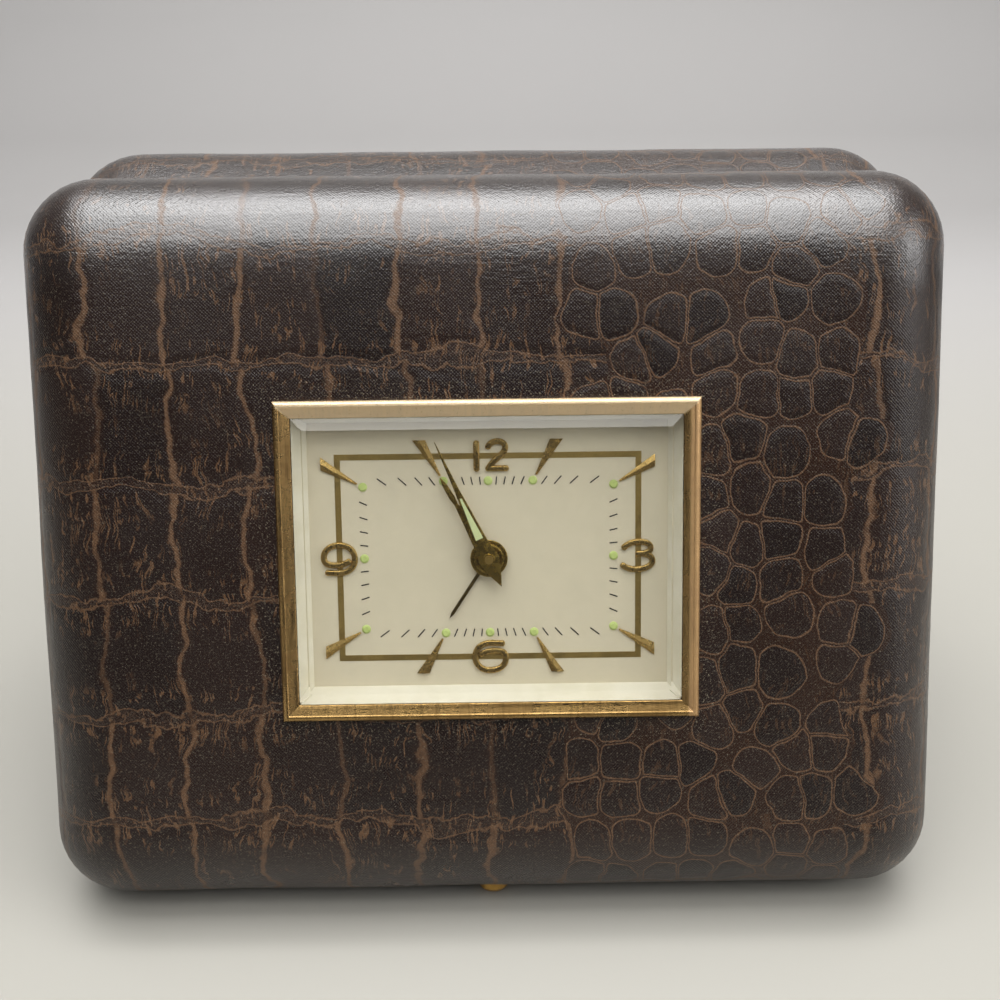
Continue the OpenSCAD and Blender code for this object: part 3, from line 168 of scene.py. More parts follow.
def plate(bm, points, low, high, bevel=0.0):
    """Flat outline raised from low to high, with its upper edge bevelled."""
    face = bm.faces.new([bm.verts.new((x, y, low)) for x, y in points])
    if face.normal.z < 0:
        face.normal_flip()
    grown = bmesh.ops.extrude_face_region(bm, geom=[face])["geom"]
    top = [g for g in grown if isinstance(g, bmesh.types.BMVert)]
    bmesh.ops.translate(bm, verts=top, vec=(0, 0, high - low))
    if bevel:
        edges = [e for e in bm.edges if all(v in top for v in e.verts)]
        bmesh.ops.bevel(bm, geom=edges, offset=bevel, segments=2, profile=0.5, affect="EDGES", material=-1)
    bmesh.ops.recalc_face_normals(bm, faces=bm.faces)


def bent(start, *bends):
    """Path of a bent wire: its start, then Bezier curves of (first pull, second pull, end, steps) one by one."""
    path = [start]
    for pull, push, end, steps in bends:
        start = path[-1]
        for i in range(1, steps + 1):
            k = i / steps
            path.append(tuple((1 - k) ** 3 * a + 3 * k * (1 - k) ** 2 * b + 3 * k * k * (1 - k) * c + k ** 3 * d
                              for a, b, c, d in zip(start, pull, push, end)))
    return path


def half_round(bm, path, width, high, low, shift=(0, 0), turn=0.0):
    """Half-round bar along a flat path, with rounded ends."""
    spin = Matrix.Rotation(math.radians(turn), 2)
    path = [spin @ Vector(p) + Vector(shift) for p in path]
    heads = [(path[1] - path[0]).normalized(), (path[-1] - path[-2]).normalized()]
    grown = [(path[0] - heads[0] * width * 0.32, 0.35), (path[0] - heads[0] * width * 0.18, 0.8)]
    grown += [(p, 1.0) for p in path]
    grown += [(path[-1] + heads[1] * width * 0.18, 0.8), (path[-1] + heads[1] * width * 0.32, 0.35)]
    section = [(-0.5, 0), (-0.5, 0.5), (-0.38, 0.9), (-0.26, 1.0), (0.26, 1.0), (0.38, 0.9), (0.5, 0.5), (0.5, 0)]
    rings = []
    for i, (p, size) in enumerate(grown):
        a, b = grown[max(i - 1, 0)][0], grown[min(i + 1, len(grown) - 1)][0]
        ahead = (b - a).normalized()
        side = Vector((-ahead.y, ahead.x))
        rings.append([(*(p + side * width * size * u), low + high * v * (0.4 + 0.6 * size)) for u, v in section])
    before = set(bm.verts)
    rows = ring_loft(bm, rings)
    bm.faces.new(rows[0])
    bm.faces.new(rows[-1])
    fresh = [v for v in bm.verts if v not in before]
    bmesh.ops.recalc_face_normals(bm, faces=list({f for v in fresh for f in v.link_faces}))


def turn_about(bm, degrees):
    """Turns a flat piece about the middle of the dial."""
    bmesh.ops.rotate(bm, verts=bm.verts, cent=(0, 0, 0), matrix=Matrix.Rotation(math.radians(degrees), 3, "Z"))


# Materials

class Wiring:
    """Adds nodes to a tree and joins them."""

    def __init__(self, tree, end=None):
        self.tree, self.end = tree, end

    def join(self, socket, value):
        if isinstance(value, bpy.types.NodeSocket):
            self.tree.links.new(value, socket)
        else:
            socket.default_value = value

    def give(self, name, value):
        """Feeds a socket of the node that all ends in: the shader, or a group's output."""
        self.join(self.end.inputs[name], value)

    def add(self, kind, inputs=None, **settings):
        node = self.tree.nodes.new(kind)
        for key, value in settings.items():
            setattr(node, key, value)
        for key, value in (inputs or {}).items():
            self.join(node.inputs[key], value)
        return node

    def math(self, operation, a, b=0.0, clamp=False):
        return self.add("ShaderNodeMath", {0: a, 1: b}, operation=operation, use_clamp=clamp).outputs[0]

    def times(self, a, b):
        return self.math("MULTIPLY", a, b)

    def plus(self, a, b, clamp=False):
        return self.math("ADD", a, b, clamp)

    def minus(self, a, b):
        return self.math("SUBTRACT", a, b)

    def size_of(self, a):
        return self.math("ABSOLUTE", a)

    def apart(self, a, b):
        return self.size_of(self.minus(a, b))

    def swing(self, mask, reach):
        """Shift either way by a mask whose middle is 0.5."""
        return self.times(self.minus(mask, 0.5), reach)

    def scaled(self, vector, by):
        return self.add("ShaderNodeVectorMath", {0: vector, 1: by}, operation="MULTIPLY").outputs[0]

    def step(self, value, low, high, to_low=0.0, to_high=1.0):
        ends = {"Value": value, "From Min": low, "From Max": high, "To Min": to_low, "To Max": to_high}
        return self.add("ShaderNodeMapRange", ends, interpolation_type="SMOOTHSTEP").outputs[0]

    def fall(self, value, low, high):
        """Mask that drops from one to nought."""
        return self.step(value, low, high, 1.0, 0.0)

    def chance(self, vector):
        """Random value for each whole place."""
        return self.add("ShaderNodeTexWhiteNoise", {"Vector": vector}, noise_dimensions="2D").outputs["Value"]

    def crossed(self, x, y, turns):
        """Relief of threads that cross."""
        return self.times(self.math("SINE", self.times(x, turns)), self.math("SINE", self.times(y, turns)))

    def over(self, a, b):
        return self.math("DIVIDE", a, b)

    def greater(self, a, b):
        return self.math("MAXIMUM", a, b)

    def floor(self, a):
        return self.math("FLOOR", a)

    def noise(self, vector, scale, detail=2.0, roughness=0.5, out=0):
        return self.add("ShaderNodeTexNoise", {"Vector": vector, "Scale": scale, "Detail": detail,
                                               "Roughness": roughness}).outputs[out]

    def mix(self, factor, a, b):
        return self.add("ShaderNodeMix", {0: factor, 6: a, 7: b}, data_type="RGBA").outputs[2]

    def blend(self, factor, a, b):
        return self.add("ShaderNodeMix", {0: factor, 2: a, 3: b}, data_type="FLOAT").outputs[0]

    def bump(self, height, strength=1.0, distance=0.0001, normal=None):
        inputs = {"Height": height, "Strength": strength, "Distance": distance}
        if normal:
            inputs["Normal"] = normal
        return self.add("ShaderNodeBump", inputs).outputs[0]

    def split(self, vector):
        return self.add("ShaderNodeSeparateXYZ", {0: vector}).outputs

    def pack(self, x, y, z=0.0):
        return self.add("ShaderNodeCombineXYZ", {0: x, 1: y, 2: z}).outputs[0]


def group(name, inputs, outputs):
    """Empty node group with named sockets; returns its wiring and its inputs."""
    tree = bpy.data.node_groups.new(name, "ShaderNodeTree")
    for label, kind, value in inputs:
        socket = tree.interface.new_socket(label, in_out="INPUT", socket_type=kind)
        if value is not None:
            socket.default_value = value
    for label in outputs:
        tree.interface.new_socket(label, in_out="OUTPUT", socket_type="NodeSocketFloat")
    w = Wiring(tree)
    source = w.add("NodeGroupInput").outputs
    w.end = w.add("NodeGroupOutput")
    return w, source


def emboss_group():
    """Reptile scales pressed into the covering: tall columns in rows, and a field of small round scales."""
    w, source = group("Embossed Scales", [("Place", "NodeSocketVector", None)],
                      ["Height", "Vein", "Rust", "Hairline", "Tone"])
    place = source["Place"]
    x, y, _ = w.split(place)
    sway_x, sway_y, sway_z = w.split(w.noise(place, 0.06, 3.0, 0.6, out=1))
    jag_x, jag_y, jag_z = w.split(w.noise(place, 0.42, 3.0, 0.62, out=1))
    fine = w.noise(place, 1.7, 3.0, 0.65)

    def shifted(value, slow, far, quick, near):
        value = w.plus(value, w.swing(slow, far))
        return w.plus(value, w.swing(quick, near))

    def off_line(value, pitch):
        turn = w.math("FRACT", w.plus(w.over(value, pitch), 0.5))
        return w.times(w.apart(turn, 0.5), pitch)

    # Tall scales: a single vein between columns, a double one between rows
    down = shifted(w.plus(y, 7.0), sway_y, 12.0, jag_y, 1.5)
    row = w.floor(w.over(down, ROW))
    stagger = w.add("ShaderNodeTexWhiteNoise", {"W": row}, noise_dimensions="1D").outputs["Value"]
    across = w.plus(shifted(x, sway_x, 9.0, jag_x, 1.0), w.times(stagger, 1.6))
    column = w.floor(w.plus(w.over(across, COLUMN), 0.5))
    fade = w.chance(w.pack(column, row))
    tall_tone = w.chance(w.pack(w.floor(w.over(across, COLUMN)), row))
    upright = off_line(across, COLUMN)
    between = off_line(down, ROW)
    torn = w.swing(fine, 0.9)
    broad = w.fall(w.plus(upright, torn), 0.22, 0.62)
    broad = w.times(broad, w.step(fade, 0.0, 0.6, 0.25, 1.0))
    gap = w.plus(0.35, w.times(w.step(sway_z, 0.35, 0.65), 0.95))
    lips = w.fall(w.apart(w.plus(between, w.times(torn, 0.7)), gap), 0.05, 0.24)
    crease = w.step(w.minus(gap, between), -0.1, 0.5)
    stray = w.times(crease, w.step(w.apart(fine, 0.5), 0.004, 0.022, 0.6, 0.0))
    tall_vein = w.greater(w.times(broad, w.step(crease, 0.2, 0.8, 1.0, 0.25)), w.greater(w.times(lips, 0.85), stray))
    tall_dome = w.times(w.step(upright, 0.0, 1.8), w.step(w.minus(between, gap), 0.0, 2.2))
    tall_rust = w.greater(w.times(crease, 0.3), w.step(upright, 0.2, 1.5, 0.5, 0.0))

    # Round scales, each ringed, with rusty corners between them
    spot = w.pack(shifted(x, sway_x, 5.0, jag_x, 0.5), w.times(shifted(y, sway_y, 5.0, jag_y, 0.5), 0.90))

    def flat_cells(feature):
        return w.add("ShaderNodeTexVoronoi", {"Vector": spot, "Scale": ROUND_SCALE, "Randomness": 0.62},
                     feature=feature, voronoi_dimensions="2D").outputs

    edge = flat_cells("DISTANCE_TO_EDGE")["Distance"]
    heart = flat_cells("F1")
    inside = w.times(w.minus(0.60, heart["Distance"]), 0.9)
    inside = w.add("ShaderNodeMath", {0: edge, 1: inside, 2: 0.13}, operation="SMOOTH_MIN").outputs[0]
    inside = w.plus(inside, w.times(torn, 0.012))
    ring = w.fall(w.apart(inside, 0.030), 0.006, 0.025)
    round_rust = w.fall(inside, -0.01, 0.03)
    round_dome = w.step(inside, 0.02, 0.20)
    round_tone = w.split(heart["Color"])[0]

    # Each round scale is wholly there or not, by where its heart lies
    hx, hy, _ = w.split(heart["Position"])
    hy = w.over(hy, 0.9)
    left_side = w.plus(14.0, w.swing(w.noise(w.pack(0, hy), 0.05, 1.0), 26.0))
    left_side = w.plus(left_side, w.times(w.fall(hy, -110.0, -20.0), -6.0))
    right_side = w.plus(63.0, w.swing(w.noise(w.pack(9, hy), 0.06, 1.0), 12.0))
    field = w.times(w.math("GREATER_THAN", hx, left_side), w.math("LESS_THAN", hx, right_side))

    # Hairlines that run down the scales
    thread = w.noise(w.pack(w.times(across, 0.85), w.times(down, 0.11), row), 1.0, 2.0, 0.55)
    hair = w.fall(w.apart(w.math("FRACT", w.times(thread, 4.0)), 0.5), 0.05, 0.17)
    tuft = w.greater(w.fall(between, 3.0, 7.5), w.step(sway_z, 0.48, 0.60))
    hair = w.times(hair, w.times(tuft, w.step(jag_z, 0.42, 0.54)))
    hair = w.times(hair, w.blend(field, 1.0, 0.35))

    vein = w.blend(field, tall_vein, ring)
    shown = w.times(vein, w.step(jag_z, 0.28, 0.5, 0.5, 1.0))
    shown = w.times(shown, w.step(fine, 0.3, 0.6, 0.6, 1.0))
    height = w.blend(field, tall_dome, round_dome)
    w.give("Height", w.minus(w.plus(height, w.times(vein, 0.16)), w.times(hair, 0.2)))
    w.give("Vein", shown)
    w.give("Rust", w.blend(field, tall_rust, round_rust))
    w.give("Hairline", hair)
    w.give("Tone", w.blend(field, tall_tone, round_tone))
    return w.tree


def weave_group():
    """Fine cloth weave: crossing threads of a given pitch."""
    w, source = group("Fine Weave", [("Place", "NodeSocketVector", None), ("Pitch", "NodeSocketFloat", 0.5)],
                      ["Height"])
    x, y, _ = w.split(source["Place"])
    w.give("Height", w.plus(0.5, w.times(w.crossed(x, y, w.over(2 * math.pi, source["Pitch"])), 0.5)))
    return w.tree


def age_group():
    """Uneven patches and specks that age a surface."""
    w, source = group("Age", [("Place", "NodeSocketVector", None), ("Patch", "NodeSocketFloat", 0.2),
                              ("Speck", "NodeSocketFloat", 3.0)], ["Patches", "Specks", "Scratches"])
    place = source["Place"]
    w.give("Patches", w.step(w.noise(place, source["Patch"], 5.0, 0.62), 0.38, 0.66))
    w.give("Specks", w.step(w.noise(place, source["Speck"], 3.0, 0.7), 0.56, 0.68))
    drawn = w.scaled(place, (0.25, 9.0, 9.0))
    w.give("Scratches", w.step(w.noise(drawn, 2.4, 3.0, 0.7), 0.45, 0.62))
    return w.tree


GROUPS = {}


def use(w, name, inputs):
    """Places a shared group in a material."""
    makers = {"Embossed Scales": emboss_group, "Fine Weave": weave_group, "Age": age_group}
    if name not in GROUPS:
        GROUPS[name] = makers[name]()
    node = w.add("ShaderNodeGroup", node_tree=GROUPS[name])
    for key, value in inputs.items():
        w.join(node.inputs[key], value)
    return node.outputs


def finish_of(name, **plain):
    """New material; returns it with its wiring and the place in millimetres."""
    material = bpy.data.materials.new(name)
    material.use_nodes = True
    tree = material.node_tree
    shader = tree.nodes["Principled BSDF"]
    for key, value in plain.items():
        shader.inputs[key.replace("_", " ")].default_value = value
    w = Wiring(tree, shader)
    spot = w.add("ShaderNodeTexCoord").outputs["Object"]
    return material, w, w.scaled(spot, (1000, 1000, 1000))


def rgb(value):
    """Linear colour of a six-figure hex colour."""
    parts = [int(value[i:i + 2], 16) / 255 for i in (0, 2, 4)]
    return tuple(c / 12.92 if c <= 0.04045 else ((c + 0.055) / 1.055) ** 2.4 for c in parts) + (1.0,)


def solid_tint(colour, share=1.0):
    """Opaque colour, darkened to a share of itself."""
    return tuple(c * share for c in colour) + (1,)


def leatherette():
    """Embossed and woven covering, dusty and rubbed bright along its upper edge."""
    look = bpy.context.scene.travel_clock_case
    material, w, _ = finish_of("Leatherette", IOR=1.5, Coat_Roughness=0.22, Coat_IOR=1.75)
    flat = w.add("ShaderNodeUVMap", uv_map="cover").outputs[0]
    place = w.scaled(flat, (1000, 1000, 1000))
    x, y, _ = w.split(place)
    scales = use(w, "Embossed Scales", {"Place": place})
    age = use(w, "Age", {"Place": place, "Patch": 0.045, "Speck": 1.6})
    weave = use(w, "Fine Weave", {"Place": place, "Pitch": WEAVE_PITCH})
    dark, warm, vein, rust = map(solid_tint, (look.leather_dark, look.leather_warm, look.vein, look.rust))
    ground = w.mix(scales["Tone"], dark, warm)
    ground = w.mix(w.times(scales["Rust"], 0.75), ground, rust)
    ground = w.mix(w.times(scales["Hairline"], 0.75), ground, vein)
    ground = w.mix(w.times(scales["Vein"], 0.85), ground, vein)

    # Dust: thickest round the bezel and towards the foot, with fine lint
    beside = w.minus(w.size_of(x), LEDGE_A)
    above = w.minus(w.size_of(w.plus(y, CLOCK_DROP)), LEDGE_B)
    ledge = w.fall(w.greater(beside, above), 0.0, 6.0)
    low = w.fall(y, -62.0, -40.0)
    powder = w.step(w.noise(place, 2.6, 4.0, 0.8), 0.55, 0.66)
    amount = w.plus(0.34, w.plus(w.times(ledge, 0.45), w.times(low, 0.08)))
    lint = w.apart(w.noise(place, 0.55, 4.0, 0.7), 0.5)
    lint = w.times(w.fall(lint, 0.001, 0.006), w.step(w.noise(place, 0.31, 2.0), 0.60, 0.68))
    dusty = w.plus(w.times(powder, amount), w.times(lint, 0.3), clamp=True)
    ground = w.mix(dusty, ground, solid_tint(look.dust))
    w.give("Base Color", ground)
    rough = w.plus(w.plus(0.27, w.times(age["Patches"], 0.10)), w.times(scales["Vein"], 0.15))
    w.give("Roughness", w.plus(rough, w.times(dusty, 0.5)))

    # The upper edge is rubbed bright, down to a ragged line
    rubbed = w.plus(y, w.swing(w.noise(place, 0.05, 4.0, 0.6), 14.0))
    rubbed = w.times(w.step(rubbed, 42.0, 50.0), w.step(y, 76.0, 84.0, 1.0, 0.3))
    rubbed = w.times(rubbed, w.step(dusty, 0.0, 0.4, 1.0, 0.2))
    rubbed = w.times(rubbed, w.step(scales["Vein"], 0.0, 1.0, 1.0, 0.45))
    w.give("Coat Weight", rubbed)

    # Folds lie along the soft upper edge, where the covering was drawn over it
    folds = w.noise(w.pack(w.times(x, 0.06), w.times(y, 0.42)), 1.0, 4.0, 0.6)
    folds = w.step(w.apart(folds, 0.5), 0.0, 0.06)
    drawn = w.step(w.apart(y, 46.0), 3.0, 13.0, 0.16, 0.0)
    drawn = w.times(drawn, w.step(w.noise(place, 0.03, 2.0), 0.45, 0.6))
    height = w.plus(scales["Height"], w.times(folds, drawn))
    large = w.bump(height, 1.0, 0.0001)
    crumpled = w.noise(place, 1.6, 2.0, 0.55)
    fine_height = w.plus(w.times(weave["Height"], 0.6), w.times(crumpled, 1.1))
    w.give("Normal", w.bump(fine_height, 1.0, 0.00007, large))
    glossy = w.plus(crumpled, w.times(w.crossed(x, y, 2 * math.pi / WEAVE_PITCH), 0.09))
    glossy = w.plus(glossy, w.times(folds, drawn))
    w.give("Coat Normal", w.bump(glossy, 1.0, 0.0001))
    return material


def metal(name, colour, dark, roughness, patch, patina):
    """Worn metal whose sheen and tint change over the surface."""
    material, w, place = finish_of(name, Metallic=1.0)
    age = use(w, "Age", {"Place": place, "Patch": patch, "Speck": 1.9})
    tint = w.mix(w.times(age["Patches"], patina), rgb(colour), rgb(dark))
    tint = w.mix(w.times(age["Specks"], patina), tint, rgb(dark))
    w.give("Base Color", tint)
    w.give("Roughness", w.plus(roughness, w.times(age["Patches"], 0.16)))
    w.give("Normal", w.bump(age["Scratches"], 0.35, 0.00002))
    return material


def bezel_gilt():
    """Gilt brass with worn patches and streaks, a painted highlight along the top bar and on the right bar, a painted
    shade along the foot, and a duller right bar.
    """
    material, w, place = finish_of("Bezel Gilt", Metallic=1.0)
    age = use(w, "Age", {"Place": place, "Patch": 0.16, "Speck": 2.4})
    tint = w.mix(w.times(age["Patches"], 0.6), rgb("cfaa70"), rgb("7a5a38"))
    streak = w.noise(w.scaled(place, (1.6, 0.2, 0.12)), 1.0, 4.0, 0.65)
    tint = w.mix(w.step(streak, 0.46, 0.66, 0.0, 0.5), tint, rgb("5d4a30"))
    x, _, z = w.split(place)
    # Masks for the top bar and the foot, found by where they lie on the bezel
    rise = w.over(w.minus(z, CLOCK_RISE), LEAN_COSINE)
    mitre = (BEZEL_W - BEZEL_H) / 2
    top = w.step(w.minus(rise, w.size_of(x)), -mitre - 0.45, -mitre + 0.15)
    foot_shade = w.fall(w.plus(rise, w.size_of(x)), mitre - 0.15, mitre + 0.45)
    top = w.times(top, w.step(age["Specks"], 0.2, 1.0, 1.0, 0.7))
    # Painted shade: the foot is tinted dark. Painted highlight: the right bar and the top bar are tinted pale where
    # light falls on them.
    tint = w.mix(w.times(foot_shade, 0.55), tint, rgb("7d6438"))
    tint = w.mix(w.step(x, 33.0, 33.5, 0.0, 0.6), tint, rgb("e6bc8c"))
    tint = w.mix(w.times(top, 0.85), tint, rgb("f2dab4"))
    w.give("Base Color", tint)
    dull = w.greater(top, w.step(x, 33.0, 33.5, 0.0, 0.9))
    w.give("Roughness", w.blend(dull, w.step(age["Patches"], 0.0, 1.0, 0.20, 0.36), 0.52))
    w.give("Normal", w.bump(age["Scratches"], 0.4, 0.00002))
    return material


def velvet():
    """Soft lining with a short pile."""
    look = bpy.context.scene.travel_clock_case
    material, w, place = finish_of("Lining Velvet", Roughness=0.95, Sheen_Weight=0.5)
    age = use(w, "Age", {"Place": place, "Patch": 0.05, "Speck": 2.0})
    ground = w.mix(age["Patches"], solid_tint(look.lining), solid_tint(look.lining, 0.55))
    w.give("Base Color", ground)
    w.give("Normal", w.bump(w.noise(place, 4.5, 3.0, 0.7), 0.8, 0.00015))
    return material


def glass():
    """Slightly hazy crystal that casts no shadow."""
    material, w, place = finish_of("Crystal Glass", Metallic=0.0, Roughness=0.02, IOR=1.5,
                                           Transmission_Weight=1.0)
    w.give("Roughness", w.step(w.noise(place, 0.4, 4.0, 0.6), 0.4, 0.75, 0.01, 0.06))
    clear = w.add("ShaderNodeBsdfTransparent")
    path = w.add("ShaderNodeLightPath")
    either = w.add("ShaderNodeMixShader", {0: path.outputs["Is Shadow Ray"], 1: w.end.outputs[0],
                                           2: clear.outputs[0]})
    output = next(n for n in w.tree.nodes if n.type == "OUTPUT_MATERIAL")
    w.join(output.inputs["Surface"], either.outputs[0])
    return material


def dial_silver():
    """Silvered dial with faint specks."""
    look = bpy.context.scene.travel_clock_face
    material, w, place = finish_of("Dial", Metallic=0.25)
    age = use(w, "Age", {"Place": place, "Patch": 0.08, "Speck": 6.0})
    ground = w.mix(age["Patches"], solid_tint(look.dial), solid_tint(look.dial, 0.93))
    ground = w.mix(w.times(age["Specks"], 0.12), ground, rgb("a79f88"))
    w.give("Base Color", ground)
    w.give("Roughness", w.step(age["Patches"], 0.0, 1.0, 0.42, 0.5))
    w.give("Normal", w.bump(w.noise(place, 9.0, 2.0, 0.6), 0.4, 0.00002))
    return material


def paint(name, colour, dark, roughness, grain=6.0, depth=0.00002):
    """Plain coat with a fine tooth and slight soiling."""
    material, w, place = finish_of(name)
    age = use(w, "Age", {"Place": place, "Patch": 0.15, "Speck": 3.0})
    w.give("Base Color", w.mix(w.times(age["Patches"], 0.6), rgb(colour), rgb(dark)))
    w.give("Roughness", w.plus(roughness, w.times(age["Specks"], 0.1)))
    w.give("Normal", w.bump(w.noise(place, grain, 3.0, 0.6), 0.6, depth))
    return material


MAKERS = {
    "leatherette": (leatherette,),
    "board": (paint, "Pressed Board", "2e1f19", "231712", 0.55, 1.6, 0.0001),
    "lining": (velvet,),
    "bezel": (bezel_gilt,),
    "gilt": (metal, "Clasp Gilt", "b9924f", "7a5a30", 0.30, 0.2, 0.5),
    "marker": (metal, "Marker Gilt", "b89b5e", "857243", 0.20, 0.5, 0.3),
    "hour line": (metal, "Hour Line Gilt", "b39a5c", "95804a", 0.35, 0.4, 0.4),
    "hand": (metal, "Hand Gilt", "ab9048", "75632f", 0.18, 0.5, 0.4),
    "alarm hand": (metal, "Alarm Hand Bronze", "6a5a34", "4a3e24", 0.28, 0.5, 0.3),
    "brass": (metal, "Works Brass", "c2a45e", "8d7340", 0.30, 0.15, 0.35),
    "nickel": (metal, "Nickel", "a9a69d", "7c7870", 0.30, 0.15, 0.4),
    "spring": (metal, "Spring Steel", "6f7886", "4a515e", 0.25, 0.3, 0.4),
    "housing": (metal, "Housing Steel", "8c8a82", "66635b", 0.42, 0.08, 0.5),
    "crystal": (glass,),
    "dial": (dial_silver,),
    "surround": (paint, "Surround", "dcd8c4", "cec8ae", 0.35),
    "print": (paint, "Track Print", "1f1c19", "2c2824", 0.6),
    "lume": (paint, "Luminous Paint", "bccd7c", "a3b562", 0.6, 3.0, 0.00006),
    "hand lume": (paint, "Hand Luminous Paint", "cbd5a0", "b4c084", 0.7, 3.0, 0.00006),
}
FINISHES = {}


def finish(name):
    """Material by the name of the surface it is for."""
    if name not in FINISHES:
        maker, *values = MAKERS[name]
        FINISHES[name] = maker(*values)
    return FINISHES[name]


# Case covering

def corner_radius(inset):
    """Radius of the shell's corner, seen from the face, at a given inset."""
    return max(CORNER_R - 0.8 * inset, 2.0)


def outline(inset, s, steps=10):
    """Round-cornered ring at a given inset and depth."""
    r = corner_radius(inset)
    ring = []
    for quarter in range(4):
        cx = (CASE_W / 2 - inset - r) * (1 if quarter in (0, 3) else -1)
        cy = (CASE_H / 2 - inset - r) * (1 if quarter < 2 else -1) - CASE_H / 2
        for i in range(steps + 1):
            a = math.pi / 2 * (quarter + i / steps)
            ring.append((cx + r * math.cos(a), cy + r * math.sin(a), s))
    return ring


def cover_profile(proud):
    """Insets and depths from the turned-in edge over the rim, up the side and over the soft edge."""
    points = [(WALL + 0.05, 1.2), (WALL + 0.05, RIM_GAP + 0.1), (WALL - 0.1, RIM_GAP - proud)]
    centre = RIM_GAP + RIM_ROUND
    for a in range(0, 91, 15):
        t = math.radians(a)
        points.append((RIM_ROUND - (RIM_ROUND + proud) * math.sin(t), centre - (RIM_ROUND + proud) * math.cos(t)))
    centre = FACE_S - EDGE_ROUND
    points.append((-proud, (RIM_GAP + RIM_ROUND + centre) / 2))
    for i in range(17):
        t = math.pi / 2 * i / 16
        points.append((EDGE_ROUND - (EDGE_ROUND + proud) * math.cos(t), centre + (EDGE_ROUND + proud) * math.sin(t)))
    return points


def slit(bm, co, no, geom=None):
    """Cuts every face, or the given ones, along a plane."""
    geom = geom or bm.verts[:] + bm.edges[:] + bm.faces[:]
    bmesh.ops.bisect_plane(bm, geom=geom, dist=1e-5, plane_co=co, plane_no=no)


def cut_out(bm, planes, inside):
    """Cuts faces along planes and drops those whose middle lies inside."""
    for co, no in planes:
        slit(bm, co, no)
    drop = [f for f in bm.faces if inside(f.calc_center_median())]
    bmesh.ops.delete(bm, geom=drop, context="FACES")


def unrolled(co):
    """Place on the covering as if it lay flat: along the face, then on down the side."""
    core_x, core_y = CASE_W / 2 - EDGE_ROUND - 2, CASE_H / 2 - EDGE_ROUND - 2
    x, y, s = co.x, co.y + CASE_H / 2, co.z
    kx, ky = max(-core_x, min(core_x, x)), max(-core_y, min(core_y, y))
    out = Vector((x - kx, y - ky))
    reach = out.length
    if reach < 1e-6:
        return x, y
    centre = FACE_S - EDGE_ROUND
    if s > centre:
        turn = math.atan2(max(reach - 2.0, 0.0), max(s - centre, 1e-6))
        path = 2.0 + EDGE_ROUND * turn if reach > 2 else reach
    else:
        path = 2.0 + EDGE_ROUND * math.pi / 2 + (centre - s)
    out = out / reach * path
    return kx + out.x, ky + out.y


def cut_window(bm):
    """Opens the front cover for the clock and, in its standing edge, for the push button."""
    dial_y = -CASE_H / 2 - CLOCK_DROP
    cut_out(bm, [((WINDOW_A, 0, 0), (1, 0, 0)), ((-WINDOW_A, 0, 0), (1, 0, 0)),
                 ((0, dial_y + WINDOW_B, 0), (0, 1, 0)), ((0, dial_y - WINDOW_B, 0), (0, 1, 0))],
            lambda c: c.z > FACE_S - 1 and abs(c.x) < WINDOW_A and abs(c.y - dial_y) < WINDOW_B)

    def at_edge(face):
        return face.calc_center_median().y < -CASE_H + 3

    for i in range(8):
        angle = math.pi * i / 8
        way = Vector((math.cos(angle), 0, math.sin(angle)))
        for side in (way, -way):
            near = [f for f in bm.faces if at_edge(f) and (f.calc_center_median() - BUTTON_AT).length < 9]
            geom = list({v for f in near for v in f.verts}) + list({e for f in near for e in f.edges}) + near
            slit(bm, BUTTON_AT + side * BUTTON_BORE, way, geom)

    def in_bore(face):
        middle = face.calc_center_median()
        return at_edge(face) and math.hypot(middle.x, middle.z - BUTTON_AT.z) < BUTTON_BORE

    bmesh.ops.delete(bm, geom=[f for f in bm.faces if in_bore(f)], context="FACES")


def cover(name, place, body, seed, look, window):
    """Leatherette wrapped round one shell."""
    bm = bmesh.new()
    rows = ring_loft(bm, [outline(inset, s) for inset, s in cover_profile(look.cover_lift * 1000)])
    bm.faces.new(rows[-1])
    bm.normal_update()
    for x in range(-76, 77, 4):
        slit(bm, (x, 0, 0), (1, 0, 0))
    for y in range(4, int(CASE_H), 4):
        slit(bm, (0, -y, 0), (0, 1, 0))
    if window:
        cut_window(bm)
    half = HINGE_LEN / 2 + LEAF_ROOM
    cut_out(bm, [((half, 0, 0), (1, 0, 0)), ((-half, 0, 0), (1, 0, 0))],
            lambda c: abs(c.x) < half and math.hypot(c.y + HINGE_DROP, c.z) < KNUCKLE_R + KNUCKLE_ROOM and c.y > -6)
    sheet = bm.loops.layers.uv.new("cover")
    way = 1 if window else -1
    for f in bm.faces:
        for loop in f.loops:
            u, v = unrolled(loop.vert.co)
            loop[sheet].uv = (way * u / 1000, v / 1000)

    # The padding swells a little away from the rim
    bmesh.ops.recalc_face_normals(bm, faces=bm.faces)
    bm.normal_update()
    for v in bm.verts:
        rise = min(max((v.co.z - 4.0) / 8.0, 0.0), 1.0)
        p = Vector((v.co.x * 0.045 + seed * 9, v.co.y * 0.045, v.co.z * 0.045))
        swell = look.swell * 1000 * max(noise.noise(p) + 0.35, 0.0) + 0.05 * max(noise.noise(p * 5) + 0.3, 0)
        v.co += v.normal * swell * rise

    # The standing edge is pressed flat on the table
    table = place.inverted() @ Vector((0, 0, 0))
    up = (place.inverted().to_3x3() @ Vector((0, 0, 1))).normalized()
    for v in bm.verts:
        under = (v.co - table).dot(up)
        if under < 0:
            v.co -= up * under
    return made(name, bm, place, finish("leatherette"), body, (), 60)


# Hands

